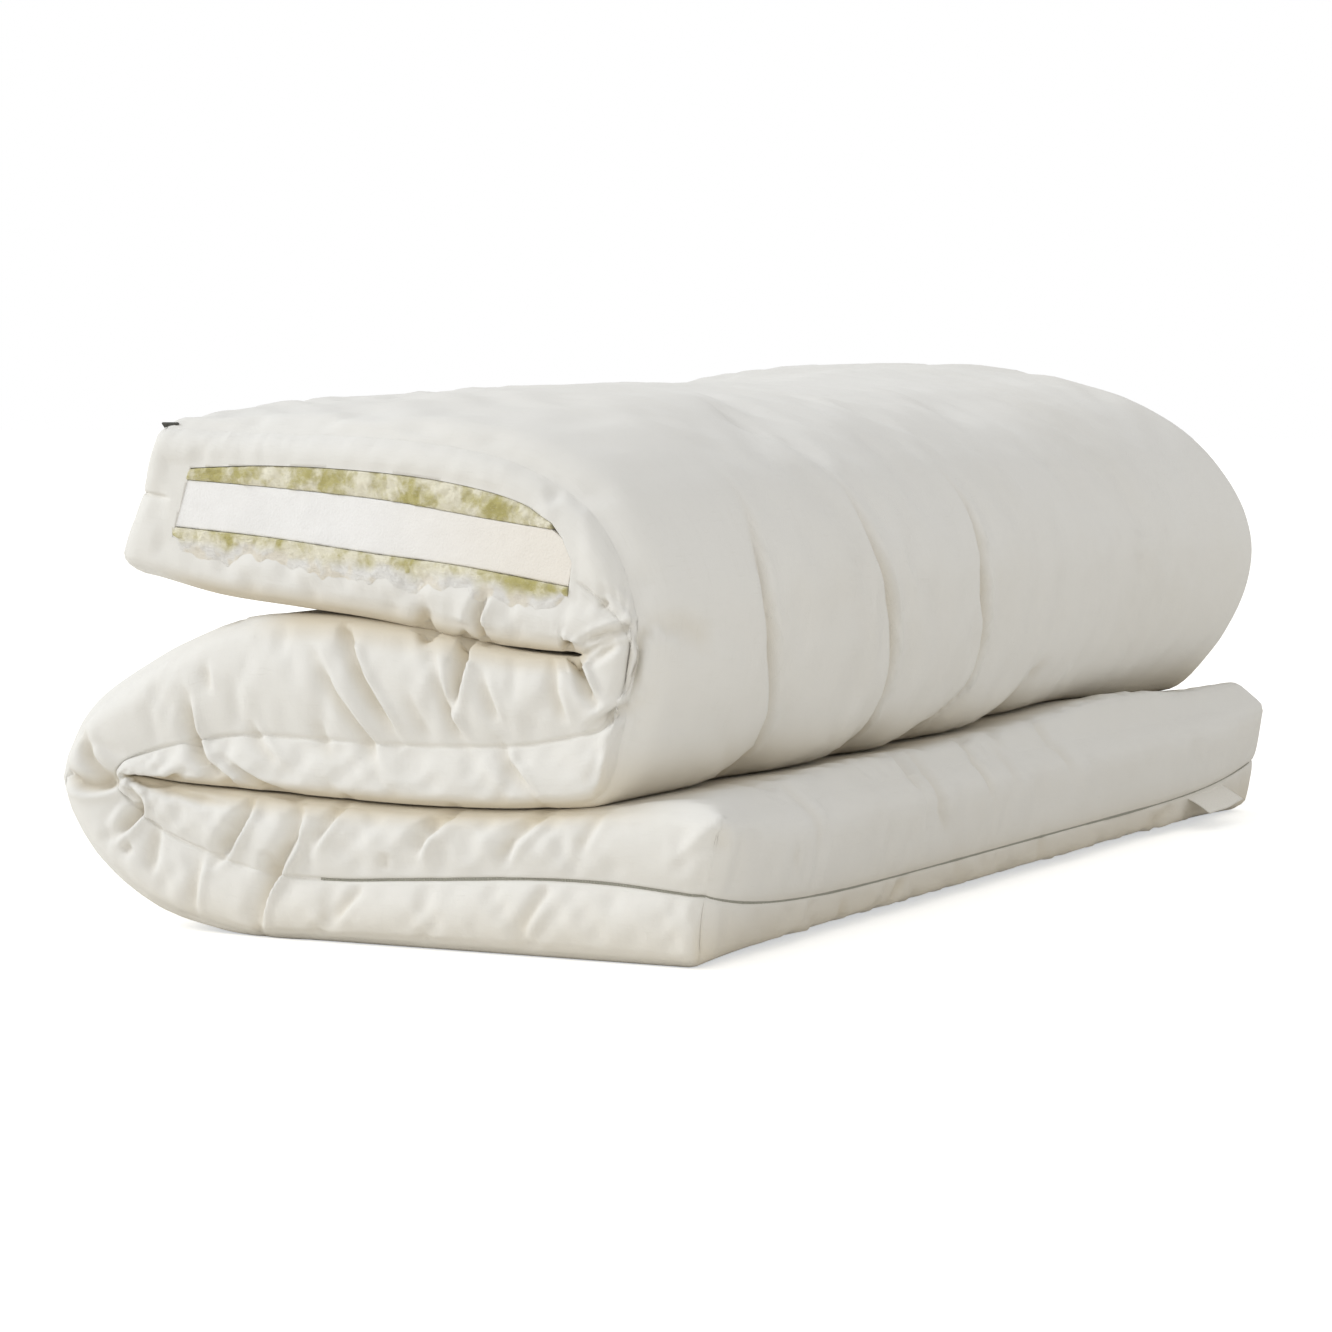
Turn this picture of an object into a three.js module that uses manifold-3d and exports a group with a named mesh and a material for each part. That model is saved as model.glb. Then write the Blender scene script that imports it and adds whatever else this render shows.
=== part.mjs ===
// A queen-size futon mattress folded in three, with a window cut in its near side that shows
// the filling. Millimetres, +Z up. X runs along the folds, Y across the width.
// The mattress lies on z = 0: the lowest layer runs left to the first fold, the middle layer
// comes back right to the second fold, and the top layer ends free on the left.
// The origin is on the floor below the middle of the mattress.
import * as THREE from 'three';
import { mergeVertices } from 'three/addons/utils/BufferGeometryUtils.js';
import Module from 'manifold-3d';

const wasm = await Module();
wasm.setup();

// Driving dimensions
const WIDTH = 1524;              // queen width, across the folds
const NEAR = -WIDTH / 2;         // the side that faces the viewer
const CLEARANCE = 0.35;          // between pieces that touch
const STEP_ALONG = 44;           // grid spacing along the folds
const FOLD_BACK = { swell: 19, from: -150, to: -345 }; // the first fold's back swells at mid width
const WALL_SWELL = 6;            // swell of each tray's side wall, above and below the seam
const END_SEAM_DROP = 0.15;      // how far the seam sags along the lowest layer's free end
const END_RADIUS = { corner: 24, middle: 50 }; // rounding of the two free ends
const MOST_ROUNDING = 0.45;      // largest rounding to the side walls, as a share of the thickness
const SWELL = { nearPower: 5, farReach: 0.9 }; // how the mid-width swell dies out to either side
const FULLER = { y: 300, spread: 260, height: 15 }; // the lowest layer is fuller past mid width

// Cross-sections along the mattress, from the free end of the lowest layer to the free end of
// the top one. The lower panel passes a, the upper panel passes b, both at the near side.
// dx and dz: how far b moves at mid width. far: how much of that it keeps at the far side.
// rise: how much higher a is at the far side. ra and rb: rounding towards the side walls.
// seam: where the seam lies between the panels, from 0 at a to 1 at b.
const COLUMNS = ['ax', 'az', 'bx', 'bz', 'dx', 'dz', 'far', 'rise', 'ra', 'rb', 'seam'];
const SECTIONS = [
  // lowest layer, from its free end
  [346, 0, 371, 142, -3, 4, 0.0, 0, 18, 14, 0.42],
  [314, 0, 330, 147, 4, 10, 1.0, 0, 18, 18, 0.47],
  [240, 0, 243, 143, 42, 10, 0.4, 0, 18, 16, 0.52],
  [150, 0, 165, 134, 20, 8, 0.6, 0, 18, 14, 0.54],
  [40, 0, 50, 131, 0, 4, 1.0, 0, 18, 14, 0.50],
  [-60, 0, -60, 134, 0, 4, 1.0, 0, 18, 14, 0.45],
  [-150, 0, -150, 138, 0, 4, 1.0, 0, 20, 14, 0.50],
  // first fold, on the left
  [-248, 22, -236, 142, 0, 4, 1.0, 2, 26, 14, 0.64],
  [-324, 74, -270, 147, 0, 4, 1.0, 4, 26, 12, 0.76],
  [-360, 144, -277, 150, 0, 4, 1.0, 8, 26, 12, 0.80],
  [-333, 204, -271, 153, 0, 4, 1.0, 14, 26, 12, 0.78],
  [-256, 259, -236, 149, 0, 4, 1.0, 20, 26, 14, 0.72],
  // middle layer
  [-150, 305, -150, 143, 0, 4, 1.0, 26, 24, 14, 0.68],
  [-72, 310, -60, 139, 0, 4, 1.0, 30, 18, 14, 0.68],
  [50, 300, 50, 136, 0, 4, 1.0, 30, 14, 14, 0.66],
  [150, 284, 165, 139, 20, 8, 0.6, 30, 14, 14, 0.60],
  // second fold, on the right
  [204, 280, 240, 149, 45, 10, 0.4, 30, 12, 20, 0.52],
  [216, 281, 264, 208, 64, 4, 0.8, 30, 12, 34, 0.50],
  [220, 283, 282, 286, 70, 8, 1.0, 30, 12, 38, 0.50],
  [215, 286, 272, 354, 78, 10, 1.0, 30, 12, 42, 0.50],
  [186, 287, 230, 424, 68, 20, 1.0, 30, 14, 46, 0.50],
  // top layer, to its free end
  [110, 295, 156, 467, 44, 34, 1.1, 30, 14, 46, 0.50],
  [-5, 313, 20, 488, 10, 38, 1.5, 30, 14, 40, 0.50],
  [-90, 320, -90, 492, 0, 31, 1.9, 30, 16, 36, 0.50],
  [-180, 328, -160, 493, 0, 24, 2.4, 30, 18, 32, 0.50],
  [-255, 344, -214, 493, 0, 22, 2.6, 28, 20, 26, 0.52],
  [-296, 350, -240, 494, 0, 22, 2.6, 26, 20, 20, 0.52],
].map((row) => Object.fromEntries(COLUMNS.map((name, i) => [name, row[i]])));

// Creases round the outside of the second fold: place across the width, depth and half width.
// They lie between the rows start and end, and are full from full to fade.
const CREASES = [
  { y: -605, depth: 8, width: 30 },
  { y: -310, depth: 9, width: 34 },
  { y: -68, depth: 8, width: 34 },
];
const CREASE_ROWS = { start: 16, full: 17.5, fade: 20, end: 22 };
const CREASE_SHOULDER = 44;

// Folds in the near side wall, slanting from the row `from` at a to the row `to` at b
const WALL_FOLDS = [
  { from: 3.9, to: 3.2, depth: 5 },
  { from: 5.2, to: 4.3, depth: 5 },
  { from: 6.3, to: 5.4, depth: 6 },
  { from: 8.4, to: 8.2, depth: 7 },
  { from: 10.6, to: 10.0, depth: 6 },
  { from: 12.3, to: 13.2, depth: 7 },
  { from: 13.3, to: 14.3, depth: 6 },
  { from: 14.4, to: 15.2, depth: 6 },
  { from: 17.2, to: 17.0, depth: 8 },
];
const WALL_FOLD_SPREAD = 0.28;

// Grid lines across the width, closer at the rounded edges and at the creases
const ACROSS = [
  NEAR, -752, -732, -700, ...creaseLines(CREASES[0]), -460, ...creaseLines(CREASES[1]),
  -190, ...creaseLines(CREASES[2]), 90, 220, 350, 480, 600, 680, 726, 750, WIDTH / 2,
];
// Grid lines through the thickness, from a to b, with the seam in the middle
const THROUGH = [0, 0.11, 0.24, 0.37, 0.5, 0.63, 0.76, 0.89, 1];

// The window in the near wall of the top layer, and the lines between its layers, as x and z
const WINDOW_TOP = [[-200, 449], [-119, 452], [-22, 449], [81, 439], [159, 421], [192, 403]];
const WINDOW_END = [[203, 389], [213, 367]];
const CORE_TOP = [[-205, 438], [-86, 430], [26, 420], [115, 407], [192, 397]];
const CORE_BOTTOM = [[-221, 393], [-110, 384], [5, 371], [94, 362], [209, 345]];
const LOWER_WOOL = 9;            // thickness of the lower wool between its lumps
const WOOL_LUMPS = [
  { x: -196, width: 16, drop: 6 },
  { x: -158, width: 14, drop: 9 },
  { x: -90, width: 24, drop: 3 },
  { x: -30, width: 26, drop: 3 },
  { x: 46, width: 18, drop: 10 },
  { x: 150, width: 34, drop: 5 },
];
const SAME_POINT = 1e-4;         // grid points closer than this are one
const LINE_STEPS = 24;           // straight pieces in each of these lines
const SHARPEST_CORNER = 0.5;     // limits how far a corner of an outline moves when it is offset
const FILLING = { front: NEAR + 1, back: NEAR + 50 };
const POCKET_FRONT = NEAR - 40;  // the cut starts clear of the face

// The zip in the seam of the lowest layer: a band of half the height `half`, from `inner` behind
// the skin to `outer` in front of it. Its groove is cut well clear of its front.
const ZIP = { half: 3, inner: -4, outer: 1.2, startRow: 5, endY: 744 };
const ZIP_ROWS = 16;
const ZIP_END_STEPS = 26;
const ZIP_END_SPACING = 1.6;     // power that brings the steps closer together at the corner
const GROOVE_FRONT = 8;          // depth cut in front of the zip, in clearances

// The label that hangs from the free end below the zip, and the dark tab sewn into the top
// layer's near corner
const LABEL = { y: 578, width: 116, thickness: 1.4, root: -4, out: 24, below: 4, drop: 28 };
const TAB = { row: 25.75, y: NEAR + 8, length: 22, width: 12, thickness: 3.5, tilt: 40 };

const FINISHES = {
  cotton: { color: 0xe6e3dc, roughness: 0.9, metalness: 0 },
  wool: { color: 0xcdc79a, roughness: 1, metalness: 0 },
  foam: { color: 0xf3f1f3, roughness: 0.85, metalness: 0 },
  zip: { color: 0x7c8074, roughness: 0.6, metalness: 0 },
  tape: { color: 0xdcd5c8, roughness: 0.8, metalness: 0 },
  dark: { color: 0x4d4e4b, roughness: 0.7, metalness: 0 },
};

function creaseLines(crease) {
  return [crease.y - CREASE_SHOULDER, crease.y, crease.y + CREASE_SHOULDER];
}

// Curves through the sections, read at a row number that may be a fraction
const lastRow = SECTIONS.length - 1;
const panelCurve = (xName, zName) => new THREE.CatmullRomCurve3(
  SECTIONS.map((section) => new THREE.Vector3(section[xName], 0, section[zName])),
  false, 'centripetal');
const lowerPanel = panelCurve('ax', 'az');
const upperPanel = panelCurve('bx', 'bz');

function column(name, row) {
  const i = Math.min(Math.floor(row), lastRow - 1);
  return THREE.MathUtils.lerp(SECTIONS[i][name], SECTIONS[i + 1][name], row - i);
}

// Share of the mid-width swell at a place across: 0 at the near side, 1 in the middle
function swellAcross(across, far) {
  if (across < 0) return 1 - (-across) ** SWELL.nearPower;
  return THREE.MathUtils.lerp(1, far, THREE.MathUtils.smoothstep(across, 0, SWELL.farReach));
}

function creaseDepth(row, y) {
  const { start, full, fade, end } = CREASE_ROWS;
  const { smoothstep } = THREE.MathUtils;
  const along = smoothstep(row, start, full) * (1 - smoothstep(row, fade, end));
  return along * CREASES.reduce(
    (sum, crease) => sum + crease.depth * Math.exp(-(((y - crease.y) / crease.width) ** 2)), 0);
}

// The lowest layer's top, and the middle layer that lies on it, are higher past mid width
function fuller(row, y) {
  const { smoothstep } = THREE.MathUtils;
  const below = smoothstep(row, 0, 1) * (1 - smoothstep(row, 3, 5));
  const above = smoothstep(row, 13, 15) * (1 - smoothstep(row, 17, 19));
  return FULLER.height * (below + above) * Math.exp(-(((y - FULLER.y) / FULLER.spread) ** 2));
}

// The points of the two panels at a row and a place across the width
function panelsAt(row, y) {
  const across = y / (WIDTH / 2);
  const swell = swellAcross(across, column('far', row));
  const b = upperPanel.getPoint(row / lastRow);
  b.x += column('dx', row) * swell;
  b.z += column('dz', row) * swell + fuller(row, y);
  const a = lowerPanel.getPoint(row / lastRow);
  a.z += column('rise', row) * THREE.MathUtils.smoothstep(across, -1, 1);
  const outward = a.clone().sub(b).normalize();
  const left = THREE.MathUtils.clamp((a.x - FOLD_BACK.from) / (FOLD_BACK.to - FOLD_BACK.from), 0, 1);
  if (row < lastRow / 2) a.addScaledVector(outward, FOLD_BACK.swell * left * (1 - across ** 4));
  b.addScaledVector(outward, creaseDepth(row, y));
  return { a, b };
}

function wallFold(row, t) {
  return WALL_FOLDS.reduce((sum, fold) => {
    const offset = (row - THREE.MathUtils.lerp(fold.from, fold.to, t)) / WALL_FOLD_SPREAD;
    return sum + fold.depth * Math.exp(-(offset ** 2)) * Math.sin(Math.PI * t);
  }, 0);
}

// The middle between the two panels at the near side, to measure along the mattress
function middleOf(row) {
  return lowerPanel.getPoint(row / lastRow).lerp(upperPanel.getPoint(row / lastRow), 0.5);
}

// Where the seam lies between the panels: it sags along the lowest layer's free end
function seamAt(row, y) {
  const sag = END_SEAM_DROP * Math.max(0, 1 - row) * (1 - (y / (WIDTH / 2)) ** 4);
  return column('seam', row) - sag;
}

// Height above the middle of the thickness, from t: 0 at a, 0.5 at the seam, 1 at b
function heightAt(row, t, y, thickness) {
  const seam = seamAt(row, y);
  const share = t < 0.5 ? 2 * t * seam : seam + (2 * t - 1) * (1 - seam);
  return (share - 0.5) * thickness;
}

// The nearer free end: how far it is, which way is inward, and how much it is rounded
function nearerEnd(row, y) {
  const end = row < lastRow / 2 ? 0 : lastRow;
  return {
    distance: middleOf(row).distanceTo(middleOf(end)),
    inward: middleOf(Math.abs(end - 1)).sub(middleOf(end)).normalize(),
    radius: THREE.MathUtils.lerp(END_RADIUS.middle, END_RADIUS.corner, (y / (WIDTH / 2)) ** 6),
  };
}

// A point of the case's skin. row runs along the mattress, y across the width, and t through
// the thickness. Edges are rounded to the walls and ends.
function skin(row, t, y) {
  const { a, b } = panelsAt(row, y);
  const thickness = a.distanceTo(b);
  const height = heightAt(row, t, y, thickness);
  const radius = Math.min(column(height < 0 ? 'ra' : 'rb', row), MOST_ROUNDING * thickness);
  const end = nearerEnd(row, y);
  const overEnd = Math.max(0, (end.radius - end.distance) / end.radius);
  const overSide = Math.max(0, (Math.abs(y) - (WIDTH / 2 - radius)) / radius);
  const overHeight = Math.max(0, (Math.abs(height) - (thickness / 2 - radius)) / radius);
  const cut = 1 - 1 / Math.max(1, Math.hypot(overEnd, overSide, overHeight));
  const roundedHeight = height - Math.sign(height) * overHeight * cut * radius;
  const point = a.lerp(b, roundedHeight / thickness + 0.5);
  point.addScaledVector(end.inward, overEnd * cut * end.radius);
  const swell = WALL_SWELL * Math.abs(Math.sin(2 * Math.PI * t));
  const fold = y < 0 ? wallFold(row, t) : 0;
  point.y = y + Math.sign(y) * overSide * (swell - fold - cut * radius);
  return point;
}

// Row numbers of the grid lines along the mattress
function linesAlong() {
  const lines = [];
  for (let row = 0; row < lastRow; row += 1) {
    const lengths = [lowerPanel, upperPanel].map(
      (panel) => panel.getPoint(row / lastRow).distanceTo(panel.getPoint((row + 1) / lastRow)));
    const count = Math.max(2, Math.round(Math.max(...lengths) / STEP_ALONG));
    for (let i = 0; i < count; i += 1) lines.push(row + i / count);
  }
  return [...lines, lastRow];
}

function bare(geometry) {
  geometry.deleteAttribute('normal');
  geometry.deleteAttribute('uv');
  return mergeVertices(geometry, SAME_POINT);
}

function solidOf(geometry) {
  const merged = bare(geometry);
  return new wasm.Manifold(new wasm.Mesh({
    numProp: 3,
    vertProperties: new Float32Array(merged.attributes.position.array),
    triVerts: new Uint32Array(merged.index.array),
  }));
}

function geometryOf(solid) {
  const { vertProperties, triVerts } = solid.getMesh();
  const geometry = new THREE.BufferGeometry();
  geometry.setAttribute('position', new THREE.BufferAttribute(vertProperties, 3));
  geometry.setIndex(new THREE.BufferAttribute(triVerts, 1));
  geometry.computeVertexNormals();
  return geometry;
}

// The filled case: a box grid whose points are laid on the skin
function caseSolid() {
  const rows = linesAlong();
  const grid = bare(new THREE.BoxGeometry(
    1, 1, 1, rows.length - 1, THROUGH.length - 1, ACROSS.length - 1));
  const position = grid.attributes.position;
  const pick = (list, share) => list[Math.round((share + 0.5) * (list.length - 1))];
  for (let i = 0; i < position.count; i += 1) {
    const point = skin(
      pick(rows, position.getX(i)), pick(THROUGH, position.getY(i)), pick(ACROSS, position.getZ(i)));
    position.setXYZ(i, point.x, point.y, Math.max(0, point.z));
  }
  return solidOf(grid);
}

// A band of four-cornered rings, closed at both ends
function bandGeometry(rings) {
  const index = [];
  const quad = (p, q, r, s) => index.push(p, r, q, p, s, r);
  for (let i = 0; i + 1 < rings.length; i += 1) {
    for (let k = 0; k < 4; k += 1) {
      const next = (k + 1) % 4;
      quad(4 * i + k, 4 * i + next, 4 * i + 4 + next, 4 * i + 4 + k);
    }
  }
  const last = 4 * (rings.length - 1);
  quad(3, 2, 1, 0);
  quad(last, last + 1, last + 2, last + 3);
  const geometry = new THREE.BufferGeometry().setFromPoints(rings.flat());
  geometry.setIndex(index);
  return geometry;
}

// Places along the seam of the lowest layer: point, outward direction and direction along
function seamPlaces(stations) {
  const points = stations.map(({ row, y }) => skin(row, 0.5, y));
  return points.map((point, i) => {
    const along = points[Math.min(i + 1, points.length - 1)].clone()
      .sub(points[Math.max(i - 1, 0)]).normalize();
    const outward = along.clone().cross(new THREE.Vector3(0, 0, 1)).normalize();
    return { point, outward, up: outward.clone().cross(along).normalize(), along };
  });
}

function zipGeometry(grow) {
  const stations = [];
  for (let i = 0; i <= ZIP_ROWS; i += 1) {
    stations.push({ row: ZIP.startRow * (1 - (i / ZIP_ROWS)), y: NEAR });
  }
  for (let i = 1; i <= ZIP_END_STEPS; i += 1) {
    stations.push({ row: 0, y: NEAR + (ZIP.endY - NEAR) * (i / ZIP_END_STEPS) ** ZIP_END_SPACING });
  }
  const places = seamPlaces(stations);
  places[0].point.addScaledVector(places[0].along, -grow);
  places[places.length - 1].point.addScaledVector(places[places.length - 1].along, grow);
  const half = ZIP.half + grow;
  const corners = [
    [ZIP.inner - grow, -half], [ZIP.outer + GROOVE_FRONT * grow, -half],
    [ZIP.outer + GROOVE_FRONT * grow, half], [ZIP.inner - grow, half],
  ];
  return bandGeometry(places.map(({ point, outward, up }) => corners.map(
    ([out, high]) => point.clone().addScaledVector(outward, out).addScaledVector(up, high))));
}

function labelGeometry(grow) {
  const ends = [-1, 1].map((side) => ({ row: 0, y: LABEL.y + side * (LABEL.width / 2 + grow) }));
  const { out, root, below, drop } = LABEL;
  const slope = new THREE.Vector2(out - root, -(drop - below)).normalize();
  const across = new THREE.Vector2(-slope.y, slope.x).multiplyScalar(LABEL.thickness / 2 + grow);
  const inner = new THREE.Vector2(root, -below).addScaledVector(slope, -grow);
  const outer = new THREE.Vector2(out, -drop).addScaledVector(slope, grow);
  const corners = [
    inner.clone().sub(across), outer.clone().sub(across),
    outer.clone().add(across), inner.clone().add(across),
  ];
  const [first, second] = ends.map(({ row, y }) => skin(row, 0.5, y));
  const along = second.clone().sub(first).normalize();
  const outward = along.clone().cross(new THREE.Vector3(0, 0, 1)).normalize();
  const up = outward.clone().cross(along).normalize();
  return bandGeometry([first, second].map((point) => corners.map(
    (c) => point.clone().addScaledVector(outward, c.x).addScaledVector(up, c.y))));
}

function tabGeometry(grow) {
  const tab = new THREE.BoxGeometry(
    TAB.length + 2 * grow, TAB.width + 2 * grow, TAB.thickness + 2 * grow);
  const place = skin(TAB.row, 1, TAB.y);
  tab.rotateX(THREE.MathUtils.degToRad(-TAB.tilt));
  tab.translate(place.x, place.y, place.z);
  return tab;
}

// The window's layers: outlines in x and z, moved in or out by an offset
function alongLine(line, reversed) {
  const points = line.map(([x, z]) => new THREE.Vector2(x, z));
  const samples = new THREE.SplineCurve(points).getPoints(LINE_STEPS);
  return reversed ? samples.reverse() : samples;
}

function lowerWoolEdge() {
  return alongLine(CORE_BOTTOM, false).map((p) => {
    const lumps = WOOL_LUMPS.reduce(
      (sum, lump) => sum + lump.drop * Math.exp(-(((p.x - lump.x) / lump.width) ** 2)), 0);
    return new THREE.Vector2(p.x, p.y - LOWER_WOOL - lumps);
  });
}

function offsetOutline(outline, amount) {
  return outline.map((p, i) => {
    const before = outline[(i + outline.length - 1) % outline.length];
    const after = outline[(i + 1) % outline.length];
    const inDirection = p.clone().sub(before).normalize();
    const outDirection = after.clone().sub(p).normalize();
    const along = inDirection.add(outDirection).normalize();
    const spread = Math.max(SHARPEST_CORNER, along.dot(outDirection));
    return p.clone().add(new THREE.Vector2(along.y, -along.x).multiplyScalar(amount / spread));
  });
}

function slabGeometry(outline, offset, front, back) {
  const shape = new THREE.Shape(offsetOutline(outline, offset));
  const slab = new THREE.ExtrudeGeometry(shape, { depth: back - front, bevelEnabled: false });
  slab.rotateX(Math.PI / 2);
  slab.translate(0, back, 0);
  return slab;
}

const layers = {
  upper_wool: [...alongLine(CORE_TOP, false), ...alongLine(WINDOW_TOP, true)],
  foam_core: [
    ...alongLine(CORE_BOTTOM, false),
    ...WINDOW_END.map(([x, z]) => new THREE.Vector2(x, z)).reverse(),
    ...alongLine(CORE_TOP, true),
  ],
  lower_wool: [...lowerWoolEdge(), ...alongLine(CORE_BOTTOM, true)],
};

const pocket = Object.values(layers)
  .map((outline) => solidOf(
    slabGeometry(outline, CLEARANCE / 2, POCKET_FRONT, FILLING.back + CLEARANCE)))
  .reduce((whole, slab) => whole.add(slab));

const trims = [zipGeometry, labelGeometry, tabGeometry];
const futonCase = trims.reduce(
  (solid, trim) => solid.subtract(solidOf(trim(CLEARANCE))), caseSolid().subtract(pocket));

const mattress = new THREE.Group();

function addPiece(name, geometry, finish) {
  const mesh = new THREE.Mesh(geometry, new THREE.MeshStandardMaterial(FINISHES[finish]));
  mesh.name = name;
  mattress.add(mesh);
}

addPiece('futon_case', geometryOf(futonCase), 'cotton');
for (const [name, outline] of Object.entries(layers)) {
  const slab = slabGeometry(outline, -CLEARANCE / 2, FILLING.front, FILLING.back);
  addPiece(name, bare(slab), name === 'foam_core' ? 'foam' : 'wool');
}
addPiece('closure_zip', zipGeometry(0), 'zip');
addPiece('side_label', labelGeometry(0), 'tape');
addPiece('corner_tab', bare(tabGeometry(0)), 'dark');

export default mattress;
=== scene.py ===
"""A queen-size futon mattress folded in three, with a window in its side that shows the filling.

Tables are in millimetres, +Z up. X runs along the folds and Y across the width. The lowest
layer runs left to the first fold, the middle layer comes back right to the second fold, and the
top layer ends free on the left.
"""
import math

import bmesh
import bpy
import numpy as np
from mathutils import Matrix, Vector, noise
from mathutils.bvhtree import BVHTree


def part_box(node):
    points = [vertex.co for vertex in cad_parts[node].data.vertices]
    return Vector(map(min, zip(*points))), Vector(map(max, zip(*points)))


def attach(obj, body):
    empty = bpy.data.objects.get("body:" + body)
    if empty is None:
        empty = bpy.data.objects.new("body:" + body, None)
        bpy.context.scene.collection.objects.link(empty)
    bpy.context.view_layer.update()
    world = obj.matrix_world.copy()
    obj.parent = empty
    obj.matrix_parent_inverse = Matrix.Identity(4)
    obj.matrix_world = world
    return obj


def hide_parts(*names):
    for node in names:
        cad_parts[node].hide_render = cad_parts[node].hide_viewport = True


bl_info = {
    "name": "Folded futon mattress",
    "version": (1, 0, 0),
    "blender": (4, 5, 0),
    "location": "View3D > Sidebar > Futon",
    "description": "Builds a folded futon mattress with its filling, zip, label and studio",
    "category": "Object",
}

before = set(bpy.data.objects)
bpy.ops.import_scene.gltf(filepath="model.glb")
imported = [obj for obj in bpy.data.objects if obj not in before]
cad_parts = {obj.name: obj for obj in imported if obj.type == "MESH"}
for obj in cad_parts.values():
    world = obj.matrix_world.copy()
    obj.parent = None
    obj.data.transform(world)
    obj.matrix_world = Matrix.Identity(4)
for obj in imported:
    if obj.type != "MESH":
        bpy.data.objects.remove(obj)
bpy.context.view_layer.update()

MM = 0.001
WIDTH = 1524.0                    # queen width, across the folds
HALF = WIDTH / 2
NEAR = -HALF                      # the side that faces the viewer

# Cross-sections along the mattress, from the free end of the lowest layer to the free end of
# the top one. The lower panel passes a, the upper panel passes b, both at the near side.
# dx and dz: how far b moves at mid width. far: how much of that it keeps at the far side.
# rise: how much higher a is at the far side. ra and rb: rounding towards the side walls.
# seam: where the seam lies between the panels, from 0 at a to 1 at b.
COLUMNS = ("ax", "az", "bx", "bz", "dx", "dz", "far", "rise", "ra", "rb", "seam")
SECTIONS = np.array([
    # lowest layer, from its free end
    (346, 0, 371, 142, -3, 4, 0.0, 0, 18, 14, 0.47),
    (314, 0, 330, 147, 4, 10, 1.0, 0, 18, 18, 0.47),
    (240, 0, 243, 143, 42, 10, 0.4, 0, 18, 16, 0.52),
    (150, 0, 165, 136, 20, 8, 0.6, 0, 18, 14, 0.54),
    (40, 0, 50, 133, 0, 4, 1.0, 0, 18, 14, 0.50),
    (-60, 0, -60, 136, 0, 4, 1.0, 0, 18, 14, 0.45),
    (-150, 0, -150, 140, 0, 4, 1.0, 0, 20, 12, 0.50),
    # first fold, on the left
    (-248, 22, -236, 144.6, 0, 4, 1.0, 2, 26, 9, 0.64),
    (-324, 74, -268, 149, 0, 4, 1.0, 4, 26, 5, 0.76),
    (-360, 144, -277, 150, 0, 4, 1.0, 8, 26, 4, 0.80),
    (-333, 204, -268, 151, 0, 4, 1.0, 14, 26, 5, 0.78),
    (-256, 259, -236, 146.4, 0, 4, 1.0, 20, 26, 9, 0.72),
    # middle layer
    (-150, 305, -150, 142, 0, 4, 1.0, 26, 24, 12, 0.68),
    (-72, 312, -60, 138, 0, 4, 1.0, 30, 18, 14, 0.68),
    (50, 302, 50, 135, 0, 4, 1.0, 30, 14, 14, 0.66),
    (150, 285, 165, 138, 20, 8, 0.6, 30, 10, 14, 0.60),
    # second fold, on the right
    (204, 281, 240, 149, 45, 10, 0.4, 30, 6, 20, 0.54),
    (216, 281, 264, 208, 64, 4, 0.8, 30, 4, 34, 0.74),
    (220, 283, 282, 286, 70, 8, 1.0, 30, 4, 38, 0.86),
    (214, 284.6, 272, 354, 78, 10, 1.0, 30, 4, 42, 0.60),
    (186, 285.2, 230, 424, 68, 20, 1.0, 30, 8, 46, 0.50),
    # top layer, to its free end
    (110, 290.5, 156, 467, 44, 34, 1.1, 30, 14, 46, 0.50),
    (-5, 309, 20, 488, 10, 38, 1.5, 30, 14, 40, 0.50),
    (-90, 318, -90, 492, 0, 31, 1.9, 30, 16, 36, 0.50),
    (-180, 328, -160, 493, 0, 24, 2.4, 30, 18, 32, 0.50),
    (-255, 344, -214, 493, 0, 22, 2.6, 28, 20, 26, 0.52),
    (-296, 350, -240, 494, 0, 22, 2.6, 26, 20, 20, 0.52),
], dtype=float)
LAST_ROW = len(SECTIONS) - 1
MID_ROW = LAST_ROW / 2

FOLD_BACK = {"swell": 19, "from": -150, "to": -345}    # fuller back of the first fold, by x
SWELL = {"near_power": 5, "far_reach": 0.9}            # how soon the panels crown from the sides
FULLER = {"y": 300, "spread": 260, "height": 15}       # where the two lower layers are fuller
WALL_SWELL = 6                    # how far the side walls bulge between their edges and the seam
END_SEAM_DROP = 0.20              # the end's seam hangs this share of the thickness at mid width
END_RADIUS = {"corner": 24, "middle": 72}
SOFT_TOP = 40                     # rounding of the lowest layer's top edge at mid width
MOST_ROUNDING = 0.45              # largest rounding, as a share of the thickness
# The lowest layer's near corner, drawn in by the zip's seam
PINCH = {"x": 358, "z": 65, "depth": 9, "high": 30, "wide": 42}
# A row and the whole thickness in millimetres, roughly, to compare distances on the grid
ROW_LENGTH = 40
THICKNESS = 140

# Cloth simulation that fills out the case before its creases are laid in. hold: least share of
# each point's pinning. grow: how much too large the cloth is cut. cap: furthest move in the end.
RELAX = {
    "step": 15.0, "layers": 11, "frames": 14, "hold": 0.25, "levels": 20, "edge": 18,
    "window": 30, "quality": 4, "mass": 0.3, "stretch": 15, "shear": 5, "bending": 1.5,
    "damping": 2, "pressure": 1.6, "grow": 0.014, "cap": 5.0}

# Grid spacing on the case
ROW_STEP = 10.5
THROUGH_LINES = (0, 0.05, 0.11, 0.17, 0.23, 0.29, 0.35, 0.41, 0.455, 0.485)
EDGE_STEPS = (0, 1.5, 3, 5, 8, 12, 16, 21, 27, 34, 43, 54, 68)
ACROSS_STEP = 18.0
CREASE_STEP = 5.0
NEAR_CUTS = 2                     # finer cuts of the near wall's grid

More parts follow.
